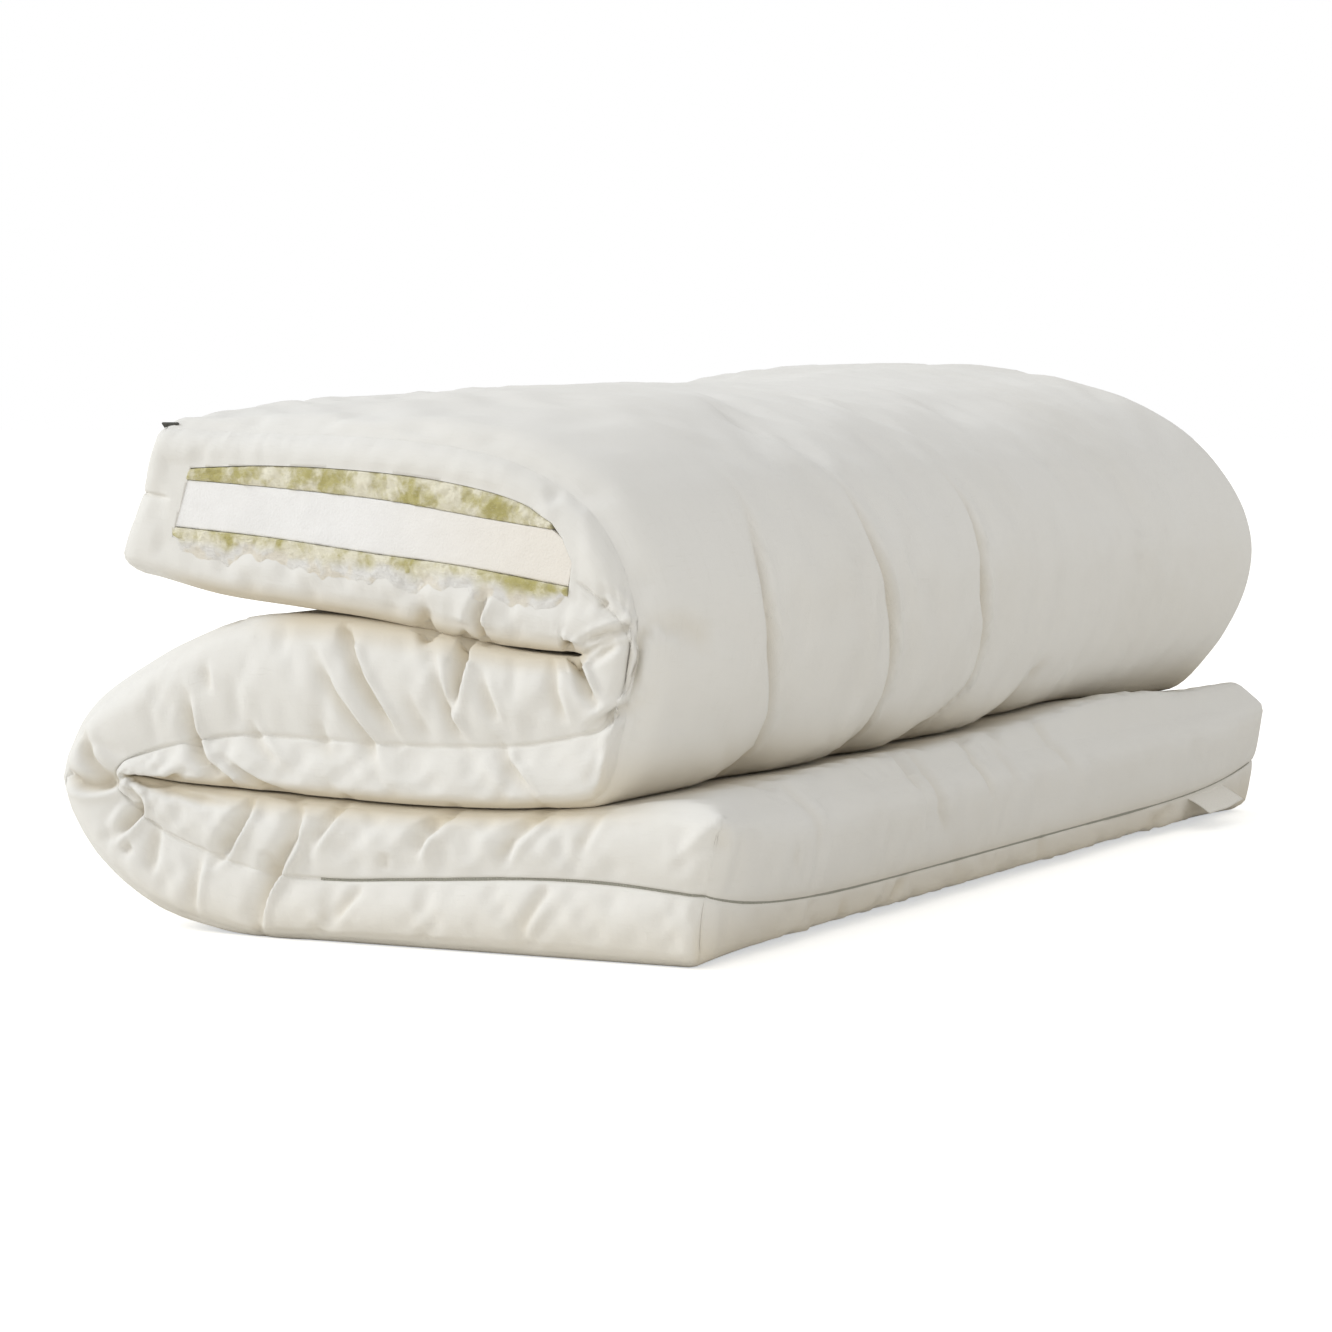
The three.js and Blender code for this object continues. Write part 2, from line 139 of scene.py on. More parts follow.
# Creases round the outside of the second fold, as y and z on its right side
BULGE_CREASES = (
    # points, depth, soft and crisp half width, lip, share of the depth at the two ends
    (((-583, 440), (-588, 405), (-595, 372), (-596, 335), (-586, 296), (-567, 251), (-548, 212),
      (-538, 180), (-540, 150)), 9, 8, 4.5, 2, (0.1, 0.6)),
    (((-391, 440), (-384, 402), (-373, 365), (-357, 331), (-341, 299), (-330, 267), (-322, 234),
      (-313, 201), (-304, 172), (-300, 150)), 12, 9, 4.5, 3, (0.1, 0.8)),
    (((-124, 440), (-116, 407), (-114, 374), (-112, 339), (-103, 297), (-91, 257), (-89, 224),
      (-102, 194), (-124, 170), (-140, 152)), 12, 9, 4.5, 3, (0.1, 0.9)),
    (((118, 235), (112, 210), (96, 185), (90, 160)), 6, 8, 5, 1, (0.1, 0.9)),
)
# The wide valley that each of them lies in. lower: how much deeper it gets below the z of deep
BROAD = {"depth": 4.5, "half": 40, "ends": (0.0, 1.0), "lower": 2.0, "deep": (150, 230)}
CREASE_BANDS = ((-625, -520), (-405, -290), (-145, -70))    # where the grid is finer for them

# Creases in the free end of the lowest layer, as y and z
END_CREASES = (
    (((-246, 150), (-254, 106), (-217, 75)), 6, 12, 7, 2, (0.8, 0.1)),
    (((-114, 156), (-122, 124), (-112, 96)), 5, 10, 6, 1.5, (0.9, 0.1)),
    (((-35, 158), (-47, 124), (-40, 100)), 4, 10, 6, 1, (0.9, 0.1)),
    (((90, 160), (115, 122), (132, 96)), 5, 12, 7, 1.5, (0.9, 0.1)),
    (((-286, 152), (-300, 118)), 4, 12, 7, 1, (0.8, 0.1)),
    (((-560, 152), (-548, 112), (-552, 84)), 3, 14, 9, 1, (0.6, 0.1)),
    (((-600, 96), (-590, 76)), 3, 9, 6, 1, (0.2, 0.6)),
    (((-471, 40), (-458, 8)), 5, 10, 6, 1, (0.8, 0.3)),
    (((-313, 38), (-353, 14)), 5, 10, 6, 1, (0.8, 0.3)),
    (((-174, 42), (-166, 10)), 5, 10, 6, 1, (0.8, 0.3)),
    (((470, 34), (384, 14)), 4, 12, 8, 1, (0.6, 0.3)),
    (((60, 42), (70, 10)), 4, 12, 8, 1, (0.8, 0.3)),
)

# Dimples in the top, as x and y
TOP_CREASES = (
    (((234, -520), (224, -440), (206, -350), (180, -250)), 10, 56, 46, 3, (0.2, 0.1)),
    (((214, 40), (206, 120), (192, 200), (176, 280)), 6, 50, 40, 2, (0.2, 0.1)),
)

# The window in the near wall of the top layer, and the lines between its layers, as x and z
WINDOW_TOP = ((-200, 449), (-119, 452), (-22, 449), (81, 439), (159, 421), (192, 403))
WINDOW_END = ((203, 389), (213, 367))
CORE_TOP = ((-205, 438), (-86, 430), (26, 420), (115, 407), (192, 397))
CORE_BOTTOM = ((-221, 393), (-110, 384), (5, 371), (94, 362), (209, 345))
LOWER_WOOL = 9
WOOL_LUMPS = ((-196, 16, 6), (-158, 14, 9), (-90, 24, 3), (-30, 26, 3), (46, 18, 10), (150, 34, 5))
LINE_STEPS = 48
WINDOW_SWELL = 4.0                # the wall stands this far out round the window
TOP_LAYER_ROW = 19                # the first row of the top layer
FILLING_FRONT = NEAR - 3.2
FILLING_BACK = NEAR + 50
SPILL = {"cells": (260, 26), "hang": 15, "thick": 2.6, "gap": 0.15, "sunk": 0.5}
GAP = 0.3                         # between the case and the filling

# Groove of the seam, its half width as a share of the thickness, and the case's upright corner
SEAM = {"depth": 2.4, "half": 0.012, "corner": 1.6, "corner_half": 2.2}

# The zip in the seam of the lowest layer
ZIP = {"half": 1.4, "inner": -4.0, "start_row": 5.0, "end_y": 744.0}
ZIP_STEP = 6.0
ZIP_SINK = -2.0                   # the tape's front, measured outward from the seam
TOOTH_PITCH = 3.0

# root and out: how far its two long edges stand out. below and drop: how far below the seam
LABEL = {"y": 578, "width": 116, "thickness": 1.0, "root": -3, "out": 28, "below": 3, "drop": 22}

TAB_SIZE = (0.019, 0.010, 0.0024)
TAB_TILT = math.radians(-40)

# Where the camera looks, in metres: a height, then steps left and down in the picture
AIM = {"height": 0.25, "left": 0.0696, "down": 0.0330}


def rgb(name, default, description):
    """A colour property, shown as a swatch."""
    return bpy.props.FloatVectorProperty(
        name=name, description=description, default=default, size=3, min=0.0, max=1.0,
        subtype="COLOR")


class FutonMattressSettings(bpy.types.PropertyGroup):
    """Sizes and colours of the mattress."""

    crease_strength: bpy.props.FloatProperty(
        name="Crease depth", description="Scales the depth of every crease and fold",
        default=1.0, min=0.0, max=1.5, subtype="FACTOR")
    lump_height: bpy.props.FloatProperty(
        name="Lump height", description="How far the filling pushes the cloth out in soft lumps",
        default=0.003, min=0.0, max=0.006, unit="LENGTH")
    cotton: rgb("Cotton", (0.80, 0.79, 0.757), "Colour of the undyed case")
    # Painted shade: the warm darker colour laid into creases, where layers meet, under the second
    # fold and near the floor
    cotton_painted_shade: rgb("Cotton in folds", (0.66, 0.59, 0.46), "Colour deep in creases and folds")
    cotton_shade: rgb("Cotton flecks", (0.70, 0.665, 0.59), "Colour of the slubs and flecks")
    wool: rgb("Wool", (0.86, 0.82, 0.66), "Pale colour of the wool")
    wool_shade: rgb("Wool depth", (0.50, 0.45, 0.17), "Olive colour between the wool's tufts")
    foam: rgb("Core", (0.89, 0.885, 0.88), "Colour of the core")
    zip_tape: rgb("Zip tape", (0.40, 0.385, 0.33), "Colour of the zip's tape")
    label: rgb("Label", (0.92, 0.89, 0.82), "Colour of the bare label")
    tab: rgb("Corner tab", (0.10, 0.10, 0.09), "Colour of the dark tape at the corner")


class FutonStageSettings(bpy.types.PropertyGroup):
    """The camera and lights."""

    azimuth: bpy.props.FloatProperty(
        name="Azimuth", description="Camera's direction round the mattress",
        default=math.radians(26.84), subtype="ANGLE")
    elevation: bpy.props.FloatProperty(
        name="Elevation", description="Camera's height above the horizon",
        default=math.radians(4.10), subtype="ANGLE")
    distance: bpy.props.FloatProperty(
        name="Distance", description="From the camera to the mattress",
        default=4.430, min=0.5, unit="LENGTH")
    lens: bpy.props.FloatProperty(
        name="Lens", description="Focal length on a 36 mm sensor",
        default=108.1, min=10.0)
    key: bpy.props.FloatProperty(
        name="Key light", description="Strength of the soft light from the upper left",
        default=1.45, min=0.0)
    fill: bpy.props.FloatProperty(
        name="Fill light", description="Strength of the soft light from the front",
        default=0.26, min=0.0)
    surround: bpy.props.FloatProperty(
        name="Surround", description="Brightness of the white surround as a light",
        default=0.69, min=0.0)


# Shape of the case

def smoothstep(value, low, high):
    share = np.clip((value - low) / (high - low), 0.0, 1.0)
    return share * share * (3 - 2 * share)


def lengths_of(vectors):
    return np.linalg.norm(vectors, axis=1)


def unit(vectors):
    return vectors / lengths_of(vectors)[:, None]


def run_along(points):
    """The distance from the first point to each point along the line."""
    return np.concatenate([[0], np.cumsum(lengths_of(np.diff(points, axis=0)))])


def read_line(points, at, places):
    """Points on a polyline whose own points lie at the given places."""
    return np.stack([np.interp(places, at, values) for values in points.T], axis=1)


def curve_through(points, place):
    """A centripetal curve through the points, read at their numbers, which may be fractions."""
    points = np.asarray(points, dtype=float)
    ends = np.vstack([2 * points[0] - points[1], points, 2 * points[-1] - points[-2]])
    first = np.clip(np.floor(place).astype(int), 0, len(points) - 2)
    share = (place - first)[:, None]
    p0, p1, p2, p3 = (ends[first + k] for k in range(4))
    d0, d1, d2 = (
        np.sqrt(lengths_of(q - p))[:, None] for p, q in ((p0, p1), (p1, p2), (p2, p3)))
    start = ((p1 - p0) / d0 - (p2 - p0) / (d0 + d1) + (p2 - p1) / d1) * d1
    end = ((p2 - p1) / d1 - (p3 - p1) / (d1 + d2) + (p3 - p2) / d2) * d1
    bend = -3 * p1 + 3 * p2 - 2 * start - end
    twist = 2 * p1 - 2 * p2 + start + end
    return p1 + start * share + bend * share ** 2 + twist * share ** 3


def column(name, row):
    values = SECTIONS[:, COLUMNS.index(name)]
    slopes = np.gradient(values)
    first = np.clip(np.floor(row).astype(int), 0, LAST_ROW - 1)
    share = row - first
    a, b, c, d = values[first], values[first + 1], slopes[first], slopes[first + 1]
    blend = share * share * (3 - 2 * share)
    return a + (b - a) * blend + share * (1 - share) * (c * (1 - share) - d * share)


def panels_at(row, y):
    """The points, as x and z, of the lower and upper panel."""
    across = y / HALF
    far = 1 + (column("far", row) - 1) * smoothstep(across, 0, SWELL["far_reach"])
    swell = np.where(across < 0, 1 - np.abs(across) ** SWELL["near_power"], far)
    lowest = smoothstep(row, 0, 1) * (1 - smoothstep(row, 3, 5))
    middle = smoothstep(row, 13, 15) * (1 - smoothstep(row, 17, 19))
    fuller = FULLER["height"] * (lowest + middle) * np.exp(
        -((y - FULLER["y"]) / FULLER["spread"]) ** 2)
    upper = curve_through(SECTIONS[:, 2:4], row)
    upper[:, 0] += column("dx", row) * swell
    upper[:, 1] += column("dz", row) * swell + fuller
    lower = curve_through(SECTIONS[:, 0:2], row)
    lower[:, 1] += column("rise", row) * smoothstep(across, -1, 1)
    outward = unit(lower - upper)
    left = np.clip(
        (lower[:, 0] - FOLD_BACK["from"]) / (FOLD_BACK["to"] - FOLD_BACK["from"]), 0, 1)
    back = np.where(row < MID_ROW, FOLD_BACK["swell"] * left * (1 - across ** 4), 0)
    lower += outward * back[:, None]
    return lower, upper


def middle_of(row):
    row = np.atleast_1d(np.asarray(row, dtype=float))
    return (curve_through(SECTIONS[:, 0:2], row) + curve_through(SECTIONS[:, 2:4], row)) / 2


def skin(row, through, y):
    """Points of the case's skin. through is 0 at the lower panel and 1 at the upper one."""
    row, through, y = (np.asarray(v, dtype=float) for v in (row, through, y))
    lower, upper = panels_at(row, y)
    thickness = lengths_of(upper - lower)
    sag = END_SEAM_DROP * np.maximum(0, 1 - row) * (1 - (y / HALF) ** 6)
    seam = column("seam", row) - sag
    share = np.where(through < 0.5, 2 * through * seam, seam + (2 * through - 1) * (1 - seam))
    height = (share - 0.5) * thickness
    radius = np.where(height < 0, column("ra", row), column("rb", row))
    soft_top = (height > 0) * (1 - smoothstep(row, 0.4, 2.4)) * (1 - (y / HALF) ** 6)
    radius = radius + soft_top * np.maximum(0, SOFT_TOP - radius)
    radius = np.minimum(radius, MOST_ROUNDING * thickness)
    first = row < MID_ROW
    ends = middle_of([0, LAST_ROW])
    inner = middle_of([1, LAST_ROW - 1])
    inward = unit(inner - ends)
    end = np.where(first[:, None], ends[0], ends[1])
    inward = np.where(first[:, None], inward[0], inward[1])
    corner_change = END_RADIUS["corner"] - END_RADIUS["middle"]
    end_radius = END_RADIUS["middle"] + corner_change * (y / HALF) ** 6
    from_end = lengths_of(middle_of(row) - end)
    over_end = np.maximum(0, (end_radius - from_end) / end_radius)
    over_side = np.maximum(0, (np.abs(y) - (HALF - radius)) / radius)
    over_height = np.maximum(0, (np.abs(height) - (thickness / 2 - radius)) / radius)
    cut = 1 - 1 / np.maximum(1, np.sqrt(over_end ** 2 + over_side ** 2 + over_height ** 2))
    rounded = height - np.sign(height) * over_height * cut * radius
    point = lower + (upper - lower) * (rounded / thickness + 0.5)[:, None]
    point += inward * (over_end * cut * end_radius)[:, None]
    swell = WALL_SWELL * np.abs(np.sin(2 * np.pi * through))
    window = in_window(point, 22) * (row > TOP_LAYER_ROW) * (y < 0)
    swell += window * (WINDOW_SWELL - swell)
    side = y + np.sign(y) * over_side * (swell - cut * radius)
    from_corner = np.hypot(point[:, 0] - PINCH["x"], side - NEAR)
    pinch = PINCH["depth"] * (row < MID_ROW) * np.exp(
        -((point[:, 1] - PINCH["z"]) / PINCH["high"]) ** 2 - (from_corner / PINCH["wide"]) ** 2)
    return np.stack([point[:, 0] - 0.85 * pinch, side + 0.5 * pinch, point[:, 1]], axis=1)


# Grids

def box_grid(cells):
    """A closed unit box of quads with so many cells along X, Y and Z."""
    grid = bmesh.new()
    bmesh.ops.create_cube(grid, size=1, matrix=Matrix.Translation((0.5, 0.5, 0.5)))
    for axis, count in enumerate(cells):
        along = [e for e in grid.edges if abs(e.verts[0].co[axis] - e.verts[1].co[axis]) > 0.5]
        bmesh.ops.subdivide_edges(grid, edges=along, cuts=count - 1, use_grid_fill=True)
    return grid


def read_vectors(items, name):
    values = np.empty(3 * len(items), dtype=np.float32)
    items.foreach_get(name, values)
    return values.reshape(-1, 3).astype(float)


def mesh_points(mesh):
    return read_vectors(mesh.vertices, "co")


def mesh_of(name, grid):
    mesh = bpy.data.meshes.new(name)
    grid.to_mesh(mesh)
    grid.free()
    return mesh


def point_values(mesh, name, values):
    """Stores one number for each point, for a material to read."""
    mesh.attributes.new(name, "FLOAT", "POINT").data.foreach_set(
        "value", values.astype(np.float32))


def set_points(mesh, points):
    mesh.vertices.foreach_set("co", np.asarray(points, dtype=np.float32).ravel())
    mesh.update()


def new_piece(name, grid, material, shade=True):
    """Turns a bmesh into an object with one material."""
    mesh = mesh_of(name, grid)
    mesh.materials.append(material)
    mesh.polygons.foreach_set("use_smooth", [shade] * len(mesh.polygons))
    piece = bpy.data.objects.new(name, mesh)
    bpy.context.scene.collection.objects.link(piece)
    return piece


def settle(piece, node):
    """The piece stands for the CAD node, which it hides, and rides with the root body."""
    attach(piece, "root")
    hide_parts(node)


def row_lines(step=ROW_STEP):
    """Row numbers of the grid lines along the mattress, close together at both free ends."""
    rows = np.arange(LAST_ROW + 1, dtype=float)
    lower = curve_through(SECTIONS[:, 0:2], rows)
    upper = curve_through(SECTIONS[:, 2:4], rows)
    lengths = np.maximum(*(lengths_of(np.diff(p, axis=0)) for p in (lower, upper)))
    lines = []
    for row, length in enumerate(lengths):
        count = max(2, round(length / step))
        lines.extend(row + np.arange(count) / count)
    lines.append(LAST_ROW)
    close = np.array([1.5, 3.5])
    start = close / lengths[0]
    finish = LAST_ROW - close / lengths[-1]
    return np.unique(np.concatenate([lines, start, finish]))


def across_lines():
    """Grid lines across the width, close together at the sides and at the creases."""
    edge = HALF - np.array(EDGE_STEPS, dtype=float)
    lines = set(np.concatenate([edge, -edge]).tolist())
    inner = HALF - EDGE_STEPS[-1]
    stops = sorted([-inner, inner, *(stop for band in CREASE_BANDS for stop in band)])
    for low, high in zip(stops, stops[1:]):
        step = CREASE_STEP if (low, high) in CREASE_BANDS else ACROSS_STEP
        count = max(1, round((high - low) / step))
        lines.update(np.linspace(low, high, count + 1))
    lines = np.array(sorted(lines))
    return lines[np.concatenate([[True], np.diff(lines) > 0.2])]


def through_lines():
    lower = np.array(THROUGH_LINES)
    return np.concatenate([lower, [0.5], 1 - lower[::-1]])


def length_along(rows):
    """Metres along the mattress at each row line, measured halfway between the panels."""
    return run_along(middle_of(rows)) * MM


# Creases and lumps

def resampled(points, step=6.0):
    """The polyline's points on a smooth curve, about a step apart."""
    points = np.asarray(points, dtype=float)
    length = lengths_of(np.diff(points, axis=0)).sum()
    return curve_through(points, np.linspace(0, len(points) - 1, max(3, int(length / step) + 1)))


def crease_profile(places, points, depth, soft, crisp, lip, ends):
    """Displacement of each place, given in a plane, for a trough along a line of points.

    The trough falls off over the half width soft on its right and crisp on its left, where a
    lip stands up. ends are the shares of the depth that stay at its two ends."""
    line = resampled(points)
    best = np.full(len(places), np.inf)
    signed = np.zeros(len(places))
    along = np.zeros(len(places))
    starts = run_along(line)
    for i, length in enumerate(lengths_of(np.diff(line, axis=0))):
        direction = (line[i + 1] - line[i]) / length
        offset = places - line[i]
        run = np.clip(offset @ direction, 0, length)
        distance = lengths_of(offset - run[:, None] * direction)
        closer = distance < best
        best = np.where(closer, distance, best)
        side = direction[0] * offset[:, 1] - direction[1] * offset[:, 0]
        signed = np.where(closer, np.copysign(distance, side), signed)
        along = np.where(closer, starts[i] + run, along)
    share = along / starts[-1]
    taper = (ends[0] + (1 - ends[0]) * smoothstep(share, 0, 0.35)) * (
        ends[1] + (1 - ends[1]) * (1 - smoothstep(share, 0.65, 1)))
    trough = -depth * np.exp(-(best / np.where(signed > 0, crisp, soft)) ** 2)
    ridge = lip * np.exp(-((signed - 1.9 * crisp) / (1.1 * crisp)) ** 2)
    ridge += 0.5 * lip * np.exp(-((signed + 2.0 * soft) / (1.1 * soft)) ** 2)
    return taper * (trough + ridge)


# Creases in the near side wall, as x and z
WALL_CREASES = (
    # points, depth, soft and crisp half width, lip, share of the depth at the two ends
    # middle layer
    (((-58, 274), (-40, 242), (-21, 218), (-6, 196), (7, 168)), 9.5, 9, 4.2, 3.6, (0.3, 0.1)),
    (((-61, 218), (-54, 192), (-38, 174)), 4.1, 9, 5.1, 1.2, (0.1, 0.1)),
    (((-28, 297), (-14, 266), (3, 238), (16, 218), (27, 193)), 12.2, 10, 4.2, 6, (0.5, 0.1)),
    (((40, 245), (53, 217), (63, 194)), 4.1, 9, 5.1, 1.2, (0.1, 0.1)),
    (((71, 272), (78, 237), (88, 213), (102, 191)), 8.1, 8, 4.2, 3.6, (0.3, 0.1)),
    (((100, 293), (95, 263), (88, 230)), 16.2, 8, 5.1, 4.8, (0.9, 0.4)),
    (((119, 264), (128, 239), (138, 213)), 5.4, 8, 4.2, 2.4, (0.2, 0.1)),
    (((136, 200), (146, 180), (159, 166), (172, 152)), 6.8, 8, 4.2, 2.4, (0.2, 0.4)),
    (((193, 274), (197, 246), (207, 214)), 6.8, 9, 5.1, 2.4, (0.4, 0.1)),
    (((-137, 214), (-128, 193), (-110, 175), (-99, 162)), 4.1, 8, 4.2, 2.4, (0.1, 0.1)),
    (((-184, 262), (-177, 233)), 4.1, 7, 4.2, 1.2, (0.1, 0.1)),
    # first fold
    (((-203, 232), (-202, 205), (-196, 184), (-183, 166), (-160, 151)),
     12.2, 9, 4.2, 4.8, (0.2, 0.6)),
    (((-167, 173), (-144, 159), (-119, 146), (-93, 139)), 8.1, 6, 3.5, 2.4, (0.2, 0.8)),
    (((-284, 146), (-303, 140), (-324, 138), (-345, 144)), 15, 9, 5, 3.5, (0.3, 0.9)),
    (((-326, 185), (-319, 164), (-301, 147)), 10.8, 8, 6, 1.2, (0.4, 0.5)),
    (((-269, 147), (-240, 145), (-208, 158)), 6, 6, 3.5, 2.4, (0.8, 0.3)),
    (((-250, 134), (-224, 138), (-197, 133), (-162, 128)), 5, 5, 3.5, 2.4, (0.2, 0.6)),
    (((-271, 135), (-260, 124), (-272, 107), (-289, 91)), 12.2, 8, 4.2, 3.6, (0.5, 0.2)),
    (((-283, 76), (-270, 85)), 5.4, 7, 4.2, 1.2, (0.1, 0.1)),
    (((-243, 107), (-246, 83), (-249, 50)), 5.4, 9, 5.1, 1.2, (0.1, 0.1)),
    # lowest layer
    (((-135, 128), (-146, 109), (-163, 86), (-179, 70)), 10.8, 9, 4.2, 4.8, (0.6, 0.2)),
    (((-192, 82), (-198, 48), (-201, 19)), 5.4, 9, 4.2, 2.4, (0.2, 0.3)),
    (((-79, 125), (-88, 95), (-103, 73), (-117, 48), (-127, 9)), 12.2, 10, 4.2, 6, (0.4, 0.4)),
    (((-33, 134), (-48, 117), (-68, 89)), 6.8, 8, 4.2, 3.6, (0.7, 0.1)),
    (((-115, 88), (-118, 59)), 5.4, 7, 4.2, 0, (0.1, 0.1)),
    (((83, 130), (57, 111), (43, 82)), 6.8, 9, 5.1, 3.6, (0.7, 0.1)),
    (((181, 135), (154, 112), (132, 80)), 6.8, 9, 5.1, 3.6, (0.7, 0.1)),
    (((17, 92), (11, 70)), 4.1, 7, 5.1, 0, (0.1, 0.1)),
    (((-17, 51), (-29, 38), (-43, 22)), 4.7, 7, 4.2, 1.2, (0.6, 0.1)),
    (((183, 63), (169, 39), (156, 15)), 5.4, 8, 5.1, 1.2, (0.6, 0.3)),
    (((244, 142), (230, 118), (216, 97)), 4.1, 8, 5.1, 1.2, (0.5, 0.1)),
    # top layer
    (((126, 337), (118, 322), (114, 312), (119, 294)), 12, 6, 4, 4, (0.3, 1)),
    (((58, 326), (55, 309), (57, 296)), 10.8, 8, 6.8, 0, (0.2, 1)),
    (((242, 334), (249, 328)), 5, 5, 3.5, 1, (0.3, 0.3)),
    # gathers where the second fold turns
    (((225, 294), (242, 302), (260, 307), (270, 310)), 8, 5, 3.5, 2.5, (0.5, 0.7)),
    (((228, 286), (244, 293), (261, 301)), 7, 5, 3.5, 2, (0.6, 0.5)),
    (((236, 279), (248, 287), (263, 295)), 6, 5, 3.5, 2, (0.5, 0.5)),
    (((208, 291), (213, 281), (222, 267), (230, 251), (238, 240)), 16, 6, 4, 4, (1, 0.3)),
    (((298, 303), (292, 311), (284, 309), (277, 298), (274, 282), (272, 264), (268, 246)),
     7, 6, 4, 2, (0.5, 0.5)),
    (((230, 216), (250, 228), (261, 235), (273, 240), (281, 247)), 5, 6, 4, 3, (0.3, 0.3)),
    (((302, 318), (310, 303), (314, 282)), 6, 9, 6, 2, (0.6, 0.1)),
    # corner, and the ear above it
    (((364, 138), (340, 118), (307, 90)), -4, 10, 6, 0, (0.9, 0.1)),
    (((362, 131), (362, 106)), 4.1, 7, 6, 0, (0.2, 0.2)),
)


def seam_weight(through):
    """1 on the seam, falling off within a few millimetres of it."""
    return np.exp(-((through - 0.5) / SEAM["half"]) ** 2)


def lumps(points, size, seed):
    """Smooth noise from about -1 to 1 at each point, with lumps of the given size."""
    shift = Vector((seed * 17.3, seed * 5.1, seed * 9.7))
    return np.array([noise.noise(Vector(p) / size + shift) for p in points])


def exposed(row, through, y):
    """1 where the case can be seen, 0 where layers lie on each other or on the floor."""
    upper = smoothstep(through, 0.8, 1.0)
    lower = 1 - smoothstep(through, 0.0, 0.2)
    inner_fold = upper * smoothstep(row, 1.2, 2.2) * (1 - smoothstep(row, 15.5, 17))
    between = lower * smoothstep(row, 11.5, 12.5) * (1 - smoothstep(row, 25, 26))
    floor = lower * (1 - smoothstep(row, 6, 7.5))
    return np.clip(1 - inner_fold - between - floor, 0, 1)


def in_window(places, margin):
    """1 inside the window's outline, 0 further outside it than the margin."""
    x, z = places[:, 0], places[:, 1]
    top, bottom = np.array(WINDOW_TOP), lower_wool_edge()
    inside = np.minimum(np.interp(x, top[:, 0], top[:, 1]) - z,
                        z - np.interp(x, bottom[:, 0], bottom[:, 1]))
    inside = np.minimum(inside, np.minimum(x - bottom[0, 0], WINDOW_END[1][0] - x))
    return smoothstep(inside, -margin, 0)


def puckers(row, through, y):
    """Fine folds of the side walls, where the cloth is gathered along both edges of a wall."""
    length = np.interp(row, np.linspace(0, LAST_ROW, 400),
                       length_along(np.linspace(0, LAST_ROW, 400))) / MM
    lean = np.interp(row, (0, 8, 10, 18, 20), (-60, -60, 70, 70, 0))
    along = length + lean * (through - 0.5)
    places = np.stack([along, 30 * through, y * 0.5], axis=1)
    edge = smoothstep(np.abs(through - 0.5), 0.08, 0.42)
    folds = 1 - np.abs(lumps(places, 30.0, 7)) * 2.6
    fine = 1 - np.abs(lumps(places, 14.0, 8)) * 2.6
    return edge * (folds + 0.45 * fine)


def case_displacement(points, normals, row, through, y, strength, lump_height):
    """How far each point of the case moves along its normal, in millimetres."""
    move = np.zeros(len(points))
    plain = np.zeros(len(points))    # wide dips, in which the cloth stays its plain colour
    near = np.flatnonzero(y < NEAR + 75)
    places = points[near][:, [0, 2]]
    wall = smoothstep(-normals[near, 1], 0.03, 0.35)
    for crease in WALL_CREASES:
        move[near] += wall * crease_profile(places, *crease)
    fold = np.flatnonzero((row > 15.2) & (row < 22.5) & (through > 0.5))
    places = points[fold][:, [1, 2]]
    outside = smoothstep(normals[fold, 0], 0.0, 0.4)
    for crease in BULGE_CREASES:
        move[fold] += outside * crease_profile(places, *crease)
        broad = crease_profile(places, crease[0], BROAD["depth"], BROAD["half"], BROAD["half"], 0,
                               BROAD["ends"])
        low = 1 + BROAD["lower"] * (1 - smoothstep(points[fold, 2], *BROAD["deep"]))
        plain[fold] += outside * broad * low
    top = np.flatnonzero((row > 18) & (through > 0.98))
    upward = smoothstep(normals[top, 2], 0.1, 0.5)
    for crease in TOP_CREASES:
        plain[top] += upward * crease_profile(points[top][:, [0, 1]], *crease)
    end = np.flatnonzero(row < 2.2)
    places = points[end][:, [1, 2]]
    facing = smoothstep(normals[end, 0], 0.1, 0.5)
    for crease in END_CREASES:
        move[end] += facing * crease_profile(places, *crease)
    zipped = (row < ZIP["start_row"] + 0.3).astype(float)
    move *= 1 - 0.9 * zipped * np.exp(-((through - 0.5) / 0.05) ** 2)
    window = in_window(points[:, [0, 2]], 14) * (points[:, 1] < NEAR + 40) * (
        row > TOP_LAYER_ROW)
    move *= 1 - window
    side = (np.abs(y) > HALF - 1) | (row < 1e-6) | (row > LAST_ROW - 1e-6)
    turn = smoothstep(row, 16.8, 17.3) * (1 - smoothstep(row, 19.2, 20.2))
    move -= SEAM["depth"] * seam_weight(through) * side * (1 - window) * (1 - 0.85 * turn)
    corner = (np.abs(y) > HALF - 6) & (row < 0.15)
    to_corner = np.maximum(HALF - np.abs(y), ROW_LENGTH * row)
    height = smoothstep(through, 0.05, 0.2) * (1 - smoothstep(through, 0.42, 0.5))
    move -= SEAM["corner"] * corner * height * np.exp(-(to_corner / SEAM["corner_half"]) ** 2)
    seen = exposed(row, through, y) * (1 - window)
    calm = 1 - 0.8 * seam_weight(through) * side
    low = lumps(points, 190.0, 1) + 0.45 * lumps(points, 75.0, 2) + 0.16 * lumps(points, 30.0, 3)
    wall_share = smoothstep(np.abs(y), HALF - 30, HALF)
    fine = 0.8 * puckers(row, through, y) * wall_share * calm * (1 - window)
    # The creases' depths, which set how much painted shade each point gets
    creases = move.copy()
    move = strength * (move + plain + fine) + lump_height / MM * seen * calm * low
    return np.where(seen < 0.5, np.minimum(move, 0), move), creases


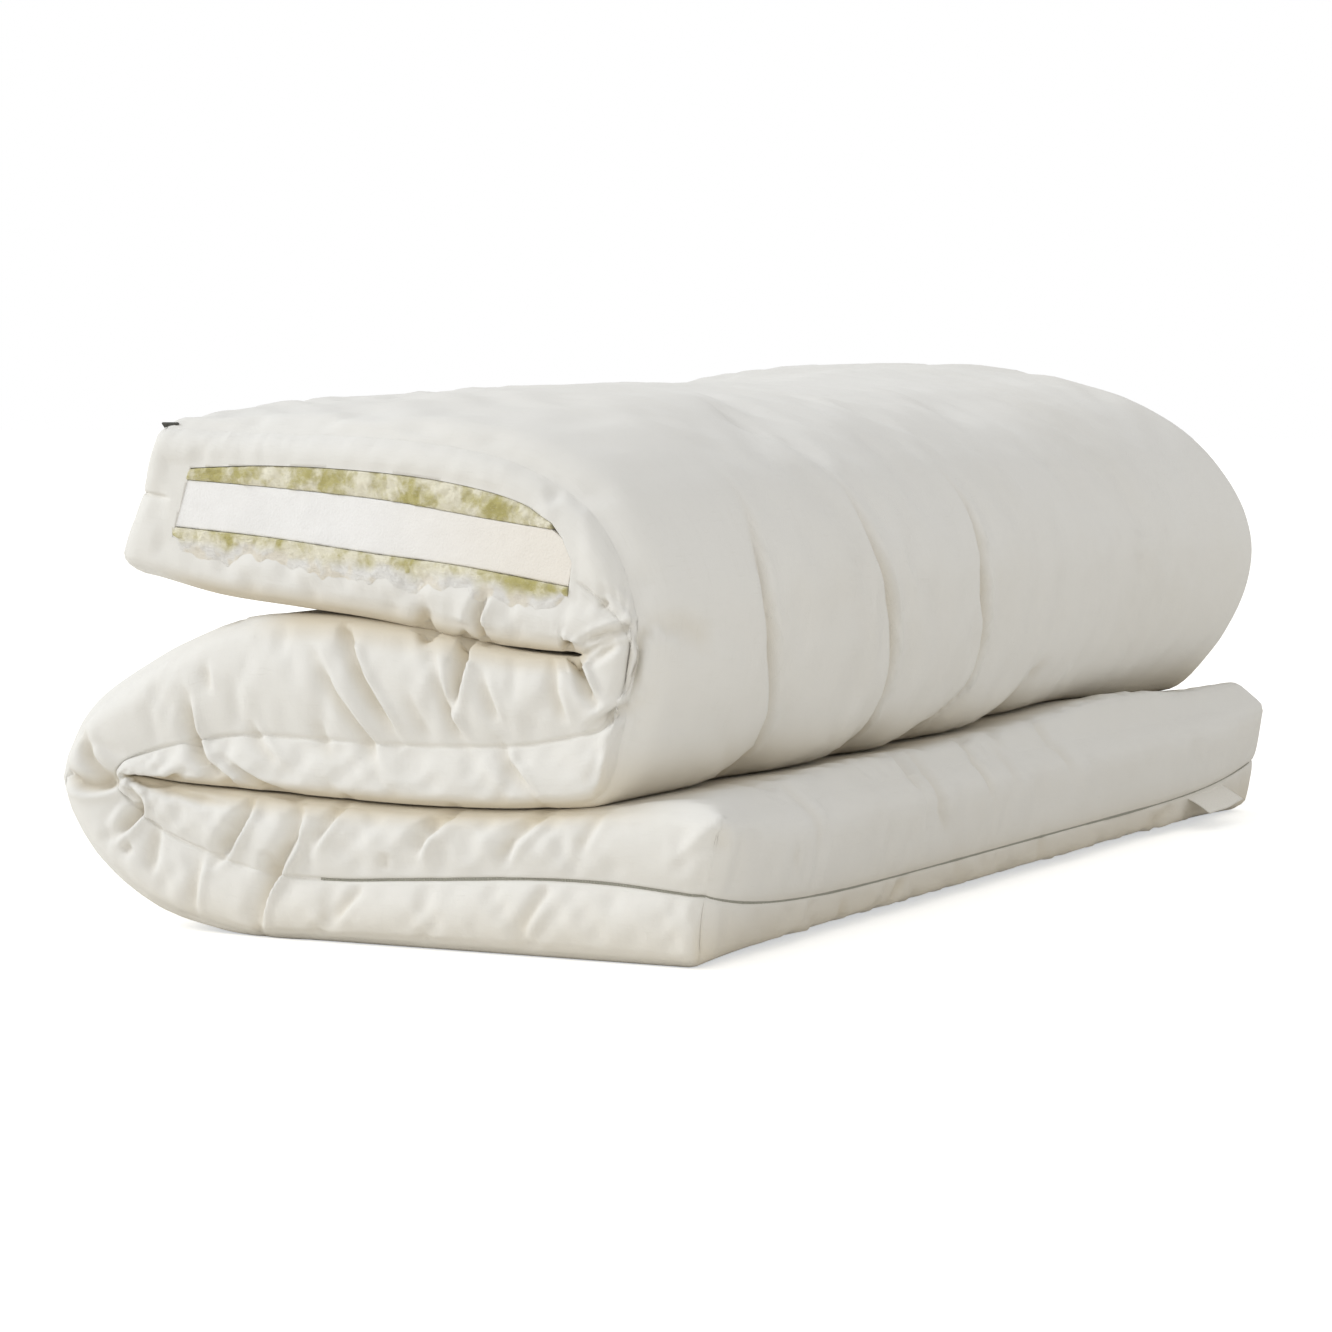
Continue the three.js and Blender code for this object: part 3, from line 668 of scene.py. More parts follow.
def painted_crease_shade(points, normals, row, through, creases):
    """Painted shade on the cloth at each point: most in creases and where layers meet, some under
    the second fold and near the floor.
    """
    z = points[:, 2]
    meet = smoothstep(through, 0.84, 1.0) * smoothstep(row, 1.0, 2.6) * (
        1 - smoothstep(row, 15.6, 16.6))
    meet = np.maximum(meet, (1 - smoothstep(through, 0.0, 0.14)) * smoothstep(row, 12, 13) * (
        1 - smoothstep(row, 24, 25)))
    under = (1 - smoothstep(z, 146, 215)) * smoothstep(row, 14.5, 15.5) * (
        1 - smoothstep(row, 18, 19)) * smoothstep(normals[:, 0], 0.1, 0.5)
    floor = (1 - smoothstep(z, 0, 75)) * (0.30 + 0.40 * smoothstep(normals[:, 0], 0.2, 0.7))
    crease = np.clip(-creases / 14, 0, 1)
    return np.clip(np.maximum(np.maximum(0.9 * meet, 0.7 * under), floor) + 0.65 * crease, 0, 1)


def case_grid():
    """The case's mesh, its points, and their grid numbers, with a UV map in metres."""
    lists = (row_lines()[::-1], across_lines(), through_lines())
    grid = box_grid([len(numbers) - 1 for numbers in lists])
    wall = [f for f in grid.faces if all(v.co.y < 1e-6 for v in f.verts)]
    bmesh.ops.subdivide_edges(
        grid, edges=list({e for f in wall for e in f.edges}), cuts=NEAR_CUTS, use_grid_fill=True)
    mesh = mesh_of("case", grid)
    cells = mesh_points(mesh)
    row, y, through = (
        np.interp(cells[:, k] * (len(numbers) - 1), np.arange(len(numbers)), numbers)
        for k, numbers in enumerate(lists))
    spread = np.linspace(0, LAST_ROW, 800)
    flat = np.stack([
        np.interp(row, spread, length_along(spread)), y * MM, 0.15 * through], axis=1)
    corners = np.empty(len(mesh.loops), dtype=np.int32)
    mesh.loops.foreach_get("vertex_index", corners)
    counts = np.empty(len(mesh.polygons), dtype=np.int32)
    mesh.polygons.foreach_get("loop_total", counts)
    normals = read_vectors(mesh.polygons, "normal")
    facing = np.repeat(np.abs(normals).argmax(axis=1), counts)
    pairs = np.array([(1, 2), (0, 2), (0, 1)])[facing]
    uv = mesh.uv_layers.new(name="cloth")
    uv.data.foreach_set("uv", flat[corners[:, None], pairs].astype(np.float32).ravel())
    return mesh, skin(row, through, y), row, through, y


def relaxing_grid():
    """A coarser grid for the cloth simulation: its grid lines and mesh."""
    step = RELAX["step"]
    inner = HALF - 20
    across = np.linspace(-inner, inner, round(2 * inner / step))
    lists = (row_lines(step)[::-1], np.array([-HALF, 8 - HALF, *across, HALF - 8, HALF]),
             np.linspace(0, 1, RELAX["layers"]))
    grid = box_grid([len(numbers) - 1 for numbers in lists])
    return lists, mesh_of("relaxing", grid)


def relaxed(row, through, y):
    """How the filling and the cut of the cloth move each point of the skin, in millimetres.

    A coarse copy of the case, cut a little too large, is blown up against springs that hold it
    to its form, and pinned along its seams and where its layers press on each other."""
    lists, mesh = relaxing_grid()
    cells = mesh_points(mesh)
    numbers = [cells[:, k] * (len(lines) - 1) for k, lines in enumerate(lists)]
    rows, across, heights = (
        np.interp(number, np.arange(len(lines)), lines) for number, lines in zip(numbers, lists))
    start = skin(rows, heights, across)
    set_points(mesh, start * MM)
    form = bpy.data.objects.new("relaxing", mesh)
    bpy.context.scene.collection.objects.link(form)
    side = (np.abs(across) > HALF - 1) | (rows < 1e-6) | (rows > LAST_ROW - 1e-6)
    seam = np.exp(-((heights - 0.5) / 0.04) ** 2) * side
    window = in_window(start[:, [0, 2]], RELAX["window"]) * (start[:, 1] < NEAR + 40) * (
        rows > TOP_LAYER_ROW)
    from_sides = np.sort([
        HALF - np.abs(across), ROW_LENGTH * np.minimum(rows, LAST_ROW - rows),
        THICKNESS * np.minimum(heights, 1 - heights)], axis=0)
    edges = np.exp(-(from_sides[1] / RELAX["edge"]) ** 2)
    held = np.maximum.reduce([
        np.full(len(rows), RELAX["hold"]), 1 - exposed(rows, heights, across), seam, window,
        edges])
    group = form.vertex_groups.new(name="held")
    levels = np.round(held * RELAX["levels"]).astype(int)
    for level in np.unique(levels):
        members = np.flatnonzero(levels == level).tolist()
        group.add(members, level / RELAX["levels"], "REPLACE")
    modifier = form.modifiers.new("cloth", "CLOTH")
    cloth = modifier.settings
    cloth.quality, cloth.mass = RELAX["quality"], RELAX["mass"]
    cloth.tension_stiffness = cloth.compression_stiffness = RELAX["stretch"]
    cloth.shear_stiffness, cloth.bending_stiffness = RELAX["shear"], RELAX["bending"]
    cloth.air_damping = RELAX["damping"]
    cloth.use_pressure, cloth.uniform_pressure_force = True, RELAX["pressure"]
    cloth.vertex_group_mass = group.name
    cloth.shrink_min = cloth.shrink_max = -RELAX["grow"]
    cloth.effector_weights.gravity = 0
    scene = bpy.context.scene
    modifier.point_cache.frame_end = RELAX["frames"]
    for step in range(1, RELAX["frames"] + 1):
        scene.frame_set(step)
    apply_modifiers(form)
    move = mesh_points(form.data) / MM - start
    scene.frame_set(1)
    bpy.data.objects.remove(form)
    length = lengths_of(move)[:, None]
    move *= RELAX["cap"] * np.tanh(length / RELAX["cap"]) / np.maximum(length, 1e-6)
    field = np.zeros([len(lines) for lines in lists] + [3])
    field[tuple(np.round(number).astype(int) for number in numbers)] = move
    places = []
    for values, lines in zip((row, y, through), lists):
        order = np.argsort(lines)
        places.append(np.interp(values, lines[order], order))
    return field_at(field, places)


def field_at(field, places):
    """Reads a field given on a grid at fractional grid numbers, with smooth curves between."""
    taps = []
    for values, size in zip(places, field.shape):
        first = np.clip(np.floor(values + 1e-6).astype(int), 0, size - 2)
        t = np.clip(values - first, 0, 1)
        weights = (-0.5 * t + t ** 2 - 0.5 * t ** 3, 1 - 2.5 * t ** 2 + 1.5 * t ** 3,
                   0.5 * t + 2 * t ** 2 - 1.5 * t ** 3, -0.5 * t ** 2 + 0.5 * t ** 3)
        taps.append([(np.clip(first + k - 1, 0, size - 1), w) for k, w in enumerate(weights)])
    total = np.zeros((len(places[0]), field.shape[3]))
    for i, u in taps[0]:
        for j, v in taps[1]:
            for k, w in taps[2]:
                total += (u * v * w)[:, None] * field[i, j, k]
    return total


def line_points(line):
    return curve_through(line, np.linspace(0, len(line) - 1, LINE_STEPS + 1))


def lower_wool_edge():
    edge = line_points(CORE_BOTTOM)
    drop = sum(d * np.exp(-((edge[:, 0] - x) / w) ** 2) for x, w, d in WOOL_LUMPS)
    edge[:, 1] -= LOWER_WOOL + drop
    return edge


def window_outline():
    """The opening's outline, as x and z, clockwise from its top left corner."""
    return np.vstack([line_points(WINDOW_TOP), WINDOW_END, lower_wool_edge()[::-1]])


def offset_outline(outline, amount):
    before = np.roll(outline, 1, axis=0)
    after = np.roll(outline, -1, axis=0)
    along = unit(unit(outline - before) + unit(after - outline))
    return outline + amount * np.stack([-along[:, 1], along[:, 0]], axis=1)


def cut_window(piece):
    """Cuts the pocket for the filling into the near wall of the top layer."""
    cutter = bmesh.new()
    outline = offset_outline(window_outline(), GAP)
    ring = [cutter.verts.new(Vector((x, NEAR - 60, z)) * MM) for x, z in outline]
    face = cutter.faces.new(ring)
    made = bmesh.ops.extrude_face_region(cutter, geom=[face])["geom"]
    bmesh.ops.translate(
        cutter, vec=Vector((0, FILLING_BACK + GAP - NEAR + 60, 0)) * MM,
        verts=[v for v in made if isinstance(v, bmesh.types.BMVert)])
    bmesh.ops.recalc_face_normals(cutter, faces=cutter.faces)
    tool = new_piece("window_cutter", cutter, piece.data.materials[0], shade=False)
    cut = piece.modifiers.new("window", "BOOLEAN")
    cut.operation, cut.solver, cut.object = "DIFFERENCE", "MANIFOLD", tool
    apply_modifiers(piece)
    bpy.data.objects.remove(tool)


def apply_modifiers(piece):
    """Bakes the piece's modifiers into its mesh."""
    view_layer = bpy.context.view_layer
    view_layer.update()
    made = bpy.data.meshes.new_from_object(
        piece.evaluated_get(bpy.context.evaluated_depsgraph_get()), preserve_all_data_layers=True,
        depsgraph=bpy.context.evaluated_depsgraph_get())
    piece.modifiers.clear()
    old = piece.data
    piece.data = made
    made.name = piece.name
    bpy.data.meshes.remove(old)


# Materials

THREAD_PITCH = 0.0011


class Value:
    """A node's output, so that shader maths is written as Python expressions."""

    def __init__(self, material, output):
        self.material = material
        self.output = output

    def maths(self, operation, *values):
        return self.material.node(
            "ShaderNodeMath", {"operation": operation}, dict(enumerate(values)))

    def sine(self):
        return self.maths("SINE", self)

    def __add__(self, other):
        return self.maths("ADD", self, other)

    def __sub__(self, other):
        return self.maths("SUBTRACT", self, other)

    def __rsub__(self, other):
        return self.maths("SUBTRACT", other, self)

    def __mul__(self, other):
        return self.maths("MULTIPLY", self, other)

    __radd__ = __add__
    __rmul__ = __mul__


class Finish:
    """A material with one Principled shader, built node by node."""

    def __init__(self, name):
        self.data = bpy.data.materials.new(name)
        self.data.use_nodes = True
        self.tree = self.data.node_tree
        self.shader = self.tree.nodes["Principled BSDF"]

    def node(self, kind, settings=None, sockets=None, output=0):
        node = self.tree.nodes.new(kind)
        for key, value in (settings or {}).items():
            setattr(node, key, value)
        for key, value in (sockets or {}).items():
            self.put(node.inputs[key], value)
        return Value(self, node.outputs[output])

    def put(self, socket, value):
        if isinstance(value, Value):
            self.tree.links.new(value.output, socket)
        else:
            socket.default_value = value

    def set(self, **values):
        """Puts numbers, colours or links on the shader's own sockets."""
        for key, value in values.items():
            self.put(self.shader.inputs[key.replace("_", " ")], value)
        return self.data

    def mix(self, share, first, second):
        colours = [(*c, 1.0) if isinstance(c, tuple) else c for c in (first, second)]
        return self.node("ShaderNodeMix", {"data_type": "RGBA"}, {
            "Factor": share, 6: colours[0], 7: colours[1]}, output=2)

    def grain(self, vector, scale, detail=2.0, roughness=0.5, stretch=(1, 1, 1), distortion=0.0):
        if stretch != (1, 1, 1):
            vector = self.node("ShaderNodeVectorMath", {"operation": "MULTIPLY"}, {
                0: vector, 1: stretch})
        return self.node("ShaderNodeTexNoise", None, {
            "Vector": vector, "Scale": scale, "Detail": detail, "Roughness": roughness,
            "Distortion": distortion})

    def ramp(self, value, low, high):
        """0 below low and 1 above high, smooth between."""
        return self.node("ShaderNodeMapRange", {"interpolation_type": "SMOOTHSTEP"}, {
            "Value": value, "From Min": low, "From Max": high})

    def bump(self, height, distance, strength=1.0, normal=None):
        sockets = {"Height": height, "Distance": distance, "Strength": strength}
        if normal is not None:
            sockets["Normal"] = normal
        return self.node("ShaderNodeBump", None, sockets)

    def place(self):
        return self.node("ShaderNodeTexCoord", None, None, output="Object")

    def attribute(self, name):
        return self.node("ShaderNodeAttribute", {"attribute_name": name}, None, output="Fac")

    def cloth(self):
        return self.node("ShaderNodeUVMap", {"uv_map": "cloth"})


def colour(values):
    return tuple(values)


def cotton_finish(settings):
    """Undyed cotton twill: fine diagonal ribs, slubs along both threads, soft colour drift and
    painted shade in creases.
    """
    finish = Finish("undyed_cotton")
    cloth, place = finish.cloth(), finish.place()
    along = finish.node("ShaderNodeSeparateXYZ", None, {0: cloth})
    across = Value(finish, along.output.node.outputs[1])
    thread = 2 * math.pi / THREAD_PITCH
    rib = ((along + across) * thread).sine()
    warp = (across * (thread * 1.4)).sine()
    slub_along = finish.grain(cloth, 1.0, detail=3, stretch=(40, 900, 1))
    slub_across = finish.grain(cloth, 1.0, detail=3, stretch=(1000, 45, 1))
    slub = finish.ramp(slub_along, 0.56, 0.78) + finish.ramp(slub_across, 0.58, 0.8)
    drift = finish.grain(place, 3.2, detail=3, roughness=0.6)
    fleck = finish.ramp(finish.grain(cloth, 420.0, detail=1), 0.70, 0.80)
    shade = slub * 0.10 + finish.ramp(drift, 0.35, 0.75) * 0.16 + fleck * 0.18
    base = finish.mix(shade, colour(settings.cotton), colour(settings.cotton_shade))
    # Painted shade: creases and contacts tinted towards a warm darker colour
    base = finish.mix(finish.attribute("painted_crease_shade"), base, colour(settings.cotton_painted_shade))
    weave = finish.bump(rib * 0.35 + warp * 0.2, 0.00006)
    cockle = finish.grain(cloth, 75.0, detail=3, roughness=0.55)
    normal = finish.bump(slub * 0.35 + cockle, 0.0007, 0.5, weave)
    return finish.set(
        Base_Color=base, Roughness=0.92, Normal=normal, Sheen_Weight=0.12, Sheen_Roughness=0.5,
        Specular_IOR_Level=0.25)


def wool_finish(settings):
    """Unspun wool: cream tufts over an olive depth, with crossing fibres."""
    finish = Finish("wool_batting")
    place = finish.place()
    tufts = finish.grain(place, 55.0, detail=4, roughness=0.6, distortion=0.4)
    patches = finish.grain(place, 19.0, detail=2, roughness=0.5)
    fibres = finish.grain(place, 240.0, detail=4, roughness=0.65, stretch=(1, 1, 3),
                          distortion=1.6)
    depth = finish.ramp(tufts * 0.55 + patches * 0.45, 0.40, 0.60)
    base = finish.mix(depth, colour(settings.wool_shade), colour(settings.wool))
    base = finish.mix(finish.ramp(fibres, 0.55, 0.72) * 0.35, base, (0.92, 0.90, 0.80))
    patches = finish.grain(place, 42.0, detail=2, roughness=0.5)
    pale = finish.mix(finish.ramp(patches, 0.48, 0.62), (0.80, 0.785, 0.75), (0.80, 0.75, 0.65))
    base = finish.mix(finish.attribute("fade"), base, pale)
    normal = finish.bump(fibres * 0.5 + tufts, 0.003, 0.8)
    return finish.set(
        Base_Color=base, Roughness=1.0, Normal=normal, Sheen_Weight=0.35, Sheen_Roughness=0.6,
        Specular_IOR_Level=0.1)


def foam_finish(settings):
    """White core with fine open pores, with painted shade in them."""
    finish = Finish("white_core")
    place = finish.place()
    pores = finish.node("ShaderNodeTexVoronoi", {"feature": "F1"}, {
        "Vector": place, "Scale": 520.0, "Randomness": 1.0})
    drift = finish.grain(place, 26.0, detail=2)
    low = tuple(0.93 * c for c in settings.foam)
    base = finish.mix(finish.ramp(drift, 0.4, 0.7) * 0.5, colour(settings.foam), low)
    across = finish.node("ShaderNodeSeparateXYZ", None, {0: place})
    base = finish.mix(finish.ramp(across, -0.05, 0.22) * 0.8, base, (0.84, 0.79, 0.71))
    # Painted shade: the pores' centres, where the bump sinks them, are a little darker
    base = finish.mix(finish.ramp(pores, 0.5, 0.2) * 0.12, base, (0.80, 0.78, 0.76))
    normal = finish.bump(pores, 0.0006, 0.5, finish.bump(drift, 0.0015, 0.4))
    return finish.set(
        Base_Color=base, Roughness=0.95, Normal=normal, Specular_IOR_Level=0.2)


def tape_finish(name, tint, pitch, roughness=0.8):
    """Narrow woven tape: ribs across it and a slight fleck."""
    finish = Finish(name)
    place = finish.place()
    ribs = finish.node("ShaderNodeTexWave", {"wave_type": "BANDS", "bands_direction": "DIAGONAL"}, {
        "Vector": place, "Scale": 1 / pitch, "Distortion": 0.6, "Detail": 1.0})
    fleck = finish.grain(place, 900.0, detail=2)
    dark = tuple(0.72 * c for c in tint)
    base = finish.mix(ribs * 0.35 + finish.ramp(fleck, 0.5, 0.8) * 0.4, colour(tint), dark)
    normal = finish.bump(ribs, 0.0003, 0.6)
    return finish.set(
        Base_Color=base, Roughness=roughness, Normal=normal, Specular_IOR_Level=0.3)


def coil_finish():
    finish = Finish("zip_coil")
    wear = finish.ramp(finish.grain(finish.place(), 700.0, detail=2), 0.4, 0.8)
    base = finish.mix(wear, (0.32, 0.32, 0.27), (0.48, 0.47, 0.40))
    return finish.set(Base_Color=base, Roughness=0.4 + wear * 0.2)


def floor_finish():
    """White studio floor, lifted for the camera so that it meets the white surround."""
    finish = Finish("studio_floor")
    drift = finish.ramp(finish.grain(finish.place(), 0.8, detail=1), 0.3, 0.7)
    base = finish.mix(drift, (0.88, 0.85, 0.79), (0.86, 0.83, 0.77))
    seen = finish.node("ShaderNodeLightPath", None, None, output="Is Camera Ray")
    return finish.set(
        Base_Color=base, Roughness=1.0, Specular_IOR_Level=0.0,
        Emission_Color=finish.mix(seen, (0.0, 0.0, 0.0), (0.94, 0.97, 1.0)),
        Emission_Strength=0.55)


# Operators

class FutonOperator:
    """What the operators share."""

    bl_options = {"REGISTER", "UNDO"}

    @property
    def settings(self):
        return bpy.context.scene.futon


class FUTON_OT_case(FutonOperator, bpy.types.Operator):
    """Makes the filled cotton case, with its creases, seam and window"""

    bl_idname = "futon.case"
    bl_label = "Cotton case"

    def execute(self, context):
        settings = self.settings
        mesh, points, row, through, y = case_grid()
        points += relaxed(row, through, y)
        set_points(mesh, points * MM)
        normals = read_vectors(mesh.vertex_normals, "vector")
        move, creases = case_displacement(
            points, normals, row, through, y, settings.crease_strength, settings.lump_height)
        # Painted shade in creases, where layers meet, under the second fold and near the floor
        point_values(mesh, "painted_crease_shade", painted_crease_shade(points, normals, row, through, creases))
        points = points + normals * move[:, None]
        points[:, 2] = np.maximum(points[:, 2], 0)
        set_points(mesh, points * MM)
        mesh.materials.append(cotton_finish(settings))
        mesh.polygons.foreach_set("use_smooth", [True] * len(mesh.polygons))
        piece = bpy.data.objects.new("case", mesh)
        bpy.context.scene.collection.objects.link(piece)
        cut_window(piece)
        settle(piece, "futon_case")
        return {"FINISHED"}


class FUTON_OT_filling(FutonOperator, bpy.types.Operator):
    """Makes the wool and the core that show in the window"""

    bl_idname = "futon.filling"
    bl_label = "Filling"

    def execute(self, context):
        settings = self.settings
        wool, foam = wool_finish(settings), foam_finish(settings)
        core_top, core_bottom = line_points(CORE_TOP), line_points(CORE_BOTTOM)
        self.layer("upper_wool_tufts", "upper_wool", "wool", wool, core_top,
                   line_points(WINDOW_TOP), (260, 14, 12), fluff=2.4, fill=0.5)
        self.layer("lower_wool_tufts", "lower_wool", "wool", wool, lower_wool_edge(),
                   core_bottom, (280, 14, 16), fluff=3.0, fill=0.5)
        self.layer("core_slab", "foam_core", "foam", foam, core_bottom, core_top,
                   (120, 12, 26), fluff=0.25, fill=1.0, end=WINDOW_END)
        self.spill(wool)
        return {"FINISHED"}

    def spill(self, material):
        """The lower wool's tufts that hang out over the cloth below the window."""
        grid = box_grid((SPILL["cells"][0], 2, SPILL["cells"][1]))
        piece = new_piece("lower_wool_spill", grid, material)
        u, v, w = mesh_points(piece.data).T
        places = np.linspace(0, 1, LINE_STEPS + 1)
        top, edge = (
            read_line(line, places, u) for line in (line_points(CORE_BOTTOM), lower_wool_edge()))
        along = np.stack([edge[:, 0], np.zeros(len(edge)), np.zeros(len(edge))], axis=1)
        hang = SPILL["hang"] * (1 + 0.7 * lumps(along, 26.0, 11) + 0.35 * lumps(along, 9.0, 12))
        ends = smoothstep(u, 0, 0.03) * (1 - smoothstep(u, 0.97, 1))
        low = edge[:, 1] - hang * ends
        z = low + (top[:, 1] - 0.6 - low) * w
        case = bpy.data.objects["case"]
        surface = BVHTree.FromObject(case, bpy.context.evaluated_depsgraph_get())
        wall = np.full(len(z), FILLING_FRONT - 0.8)
        for i, (x, height) in enumerate(zip(edge[:, 0], z)):
            hit = surface.ray_cast(Vector((x * MM, -1, height * MM)), Vector((0, 1, 0)))[0]
            if hit:
                wall[i] = min(hit.y / MM, wall[i])
        flat = np.stack([edge[:, 0], np.zeros(len(z)), z], axis=1)
        tufts = lumps(flat, 15.0, 4) + 0.6 * lumps(flat, 7.0, 5) + 0.4 * lumps(flat, 3.2, 6)
        top_rim = 0.55 + 0.45 * smoothstep(1 - w, 0, 0.1)
        body = smoothstep(w, 0, 0.45) * ends * top_rim
        thick = 0.12 + body * np.maximum(0.3, SPILL["thick"] * (0.75 + 0.6 * tufts))
        front = 1 - v
        sunk = SPILL["sunk"] * (1 - smoothstep(w, 0, 0.1) * ends)
        y = wall - SPILL["gap"] - front * thick + sunk
        set_points(piece.data, np.stack([edge[:, 0], y, z], axis=1) * MM)
        pale = (1 - smoothstep(w + 0.22 * lumps(flat, 24.0, 13), 0.30, 0.80))
        point_values(piece.data, "fade", np.clip(pale, 0, 1))
        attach(piece, "root")

    def layer(self, name, node, slot, material, low, high, cells, fluff, fill, end=None):
        """One layer between two lines of the window, its front face fluffed."""
        grid = box_grid(cells)
        piece = new_piece(name, grid, material)
        mesh = piece.data
        u, v, w = mesh_points(mesh).T
        places = np.linspace(0, 1, LINE_STEPS + 1)
        bottom, top = (read_line(line, places, u) for line in (low, high))
        share = GAP / lengths_of(top - bottom)
        inside = share + w * (1 - 2 * share)
        flat = bottom + (top - bottom) * inside[:, None]
        if end is not None:
            line = np.array([low[-1], *end[::-1], high[-1]])
            target = read_line(line, np.linspace(0, 1, len(line)), inside)
            pull = smoothstep(u, 0.93, 1.0)[:, None]
            flat = flat + (target - flat) * pull
        depth = FILLING_FRONT + v * (FILLING_BACK - FILLING_FRONT)
        points = np.stack([flat[:, 0], depth, flat[:, 1]], axis=1)
        rim = np.sin(np.pi * np.clip(w, 0, 1)) ** 0.5
        front = 1 - smoothstep(v, 0, 0.25)
        tufts = lumps(points, 13.0, 4) + 0.6 * lumps(points, 6.0, 5) + 0.35 * lumps(points, 2.8, 6)
        points[:, 1] -= front * (fluff * tufts + 0.8 * fluff * rim)
        set_points(mesh, points * MM)
        settle(piece, node)


def seam_line():
    """Points, outward and upward directions along the zip, from its start on the near side."""
    rows = np.linspace(ZIP["start_row"], 0, 90)
    y = np.full(90, NEAR)
    count = 260
    run = NEAR + (ZIP["end_y"] - NEAR) * (np.arange(1, count + 1) / count) ** 1.5
    rows = np.concatenate([rows, np.zeros(count)])
    y = np.concatenate([y, run])
    points = skin(rows, np.full(len(rows), 0.5), y)
    length = run_along(points)
    points = read_line(points, length, np.arange(0, length[-1], ZIP_STEP))
    along = unit(np.gradient(points, axis=0))
    outward = unit(np.cross(along, (0, 0, 1.0)))
    return points, along, outward, np.cross(outward, along)


class FUTON_OT_zip(FutonOperator, bpy.types.Operator):
    """Makes the zip in the seam of the lowest layer"""

    bl_idname = "futon.zip"
    bl_label = "Zip"

    def execute(self, context):
        settings = self.settings
        points, along, outward, upward = seam_line()
        half, crown = ZIP["half"], ZIP_SINK + 0.5
        corners = ((ZIP["inner"], -half), (ZIP_SINK, -half), (crown, -0.9), (crown, 0.9),
                   (ZIP_SINK, half), (ZIP["inner"], half))
        band = bmesh.new()
        rings = []
        for p, out, up in zip(points, outward, upward):
            rings.append([band.verts.new(Vector(p + out * o + up * u) * MM) for o, u in corners])
        for first, second in zip(rings, rings[1:]):
            for k in range(len(corners)):
                n = (k + 1) % len(corners)
                band.faces.new((first[k], first[n], second[n], second[k]))
        band.faces.new(rings[0][::-1])
        band.faces.new(rings[-1])
        bmesh.ops.recalc_face_normals(band, faces=band.faces)
        tape = tape_finish("zip_tape", colour(settings.zip_tape), 0.0016)
        piece = new_piece("zip_tape", band, tape)
        settle(piece, "closure_zip")
        teeth = self.teeth(points, along, outward, upward)
        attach(teeth, "root")
        return {"FINISHED"}

    def teeth(self, points, along, outward, upward):
        coil = bmesh.new()
        length = np.arange(len(points)) * ZIP_STEP
        for i, at in enumerate(np.arange(TOOTH_PITCH, length[-1] - TOOTH_PITCH, TOOTH_PITCH)):
            p, a, o, u = (
                Vector([np.interp(at, length, v[:, k]) for k in range(3)])
                for v in (points, along, outward, upward))
            side = 1 if i % 2 else -1
            turn = Matrix((a, u, o)).transposed().to_4x4()
            place = Matrix.Translation((p + o * (ZIP_SINK + 0.6) + u * 0.2 * side) * MM)
            size = Matrix.Diagonal((1.5 * MM, 1.6 * MM, 0.8 * MM, 1))
            bmesh.ops.create_cube(coil, size=1, matrix=place @ turn @ size)
        return new_piece("zip_coil", coil, coil_finish(), shade=False)


class FUTON_OT_label(FutonOperator, bpy.types.Operator):
    """Makes the bare label sewn in below the zip"""

    bl_idname = "futon.label"
    bl_label = "Label"

    def execute(self, context):
        y = np.array([LABEL["y"] - LABEL["width"] / 2, LABEL["y"] + LABEL["width"] / 2])
        ends = skin(np.zeros(2), np.full(2, 0.5), y)
        along = (ends[1] - ends[0]) / np.linalg.norm(ends[1] - ends[0])
        outward = np.cross(along, (0, 0, 1.0))
        outward /= np.linalg.norm(outward)
        upward = np.cross(outward, along)
        sheet = bmesh.new()
        bmesh.ops.create_grid(sheet, x_segments=40, y_segments=12, size=0.5)
        for v in sheet.verts:
            u, w = v.co.x + 0.5, v.co.y + 0.5
            out = LABEL["root"] + (LABEL["out"] - LABEL["root"]) * w
            drop = LABEL["below"] + (LABEL["drop"] - LABEL["below"]) * w
            curl = 1.6 * math.sin(math.pi * w) * (0.6 + 0.4 * math.sin(5 * u + 0.6))
            wave = 1.1 * w * math.sin(7 * u + 1.0)
            at = ends[0] + (ends[1] - ends[0]) * u
            at = at + outward * (out + 0.7 * curl) + upward * (-drop + 0.7 * curl + wave)
            v.co = Vector(at) * MM
        material = tape_finish("label_tape", colour(self.settings.label), 0.0012)
        piece = new_piece("label", sheet, material)
        wall = piece.modifiers.new("thickness", "SOLIDIFY")
        wall.thickness, wall.offset = LABEL["thickness"] * MM, 0.0
        apply_modifiers(piece)
        settle(piece, "side_label")
        return {"FINISHED"}


class FUTON_OT_corner_tab(FutonOperator, bpy.types.Operator):
    """Makes the dark tape tab at the top layer's near corner"""

    bl_idname = "futon.corner_tab"
    bl_label = "Corner tab"

    def execute(self, context):
        low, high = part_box("corner_tab")
        centre = (Vector(low) + Vector(high)) / 2
        tab = bmesh.new()
        size = Matrix.Diagonal((*TAB_SIZE, 1))
        turn = Matrix.Rotation(TAB_TILT, 4, "X")
        bmesh.ops.create_cube(tab, size=1, matrix=Matrix.Translation(centre) @ turn @ size)
        bmesh.ops.bevel(
            tab, geom=list(tab.edges), offset=0.001, affect="EDGES", segments=3, profile=0.5,
            material=-1)
        material = tape_finish("dark_tape", colour(self.settings.tab), 0.0015)
        piece = new_piece("tape_tab", tab, material)
        settle(piece, "corner_tab")
        return {"FINISHED"}


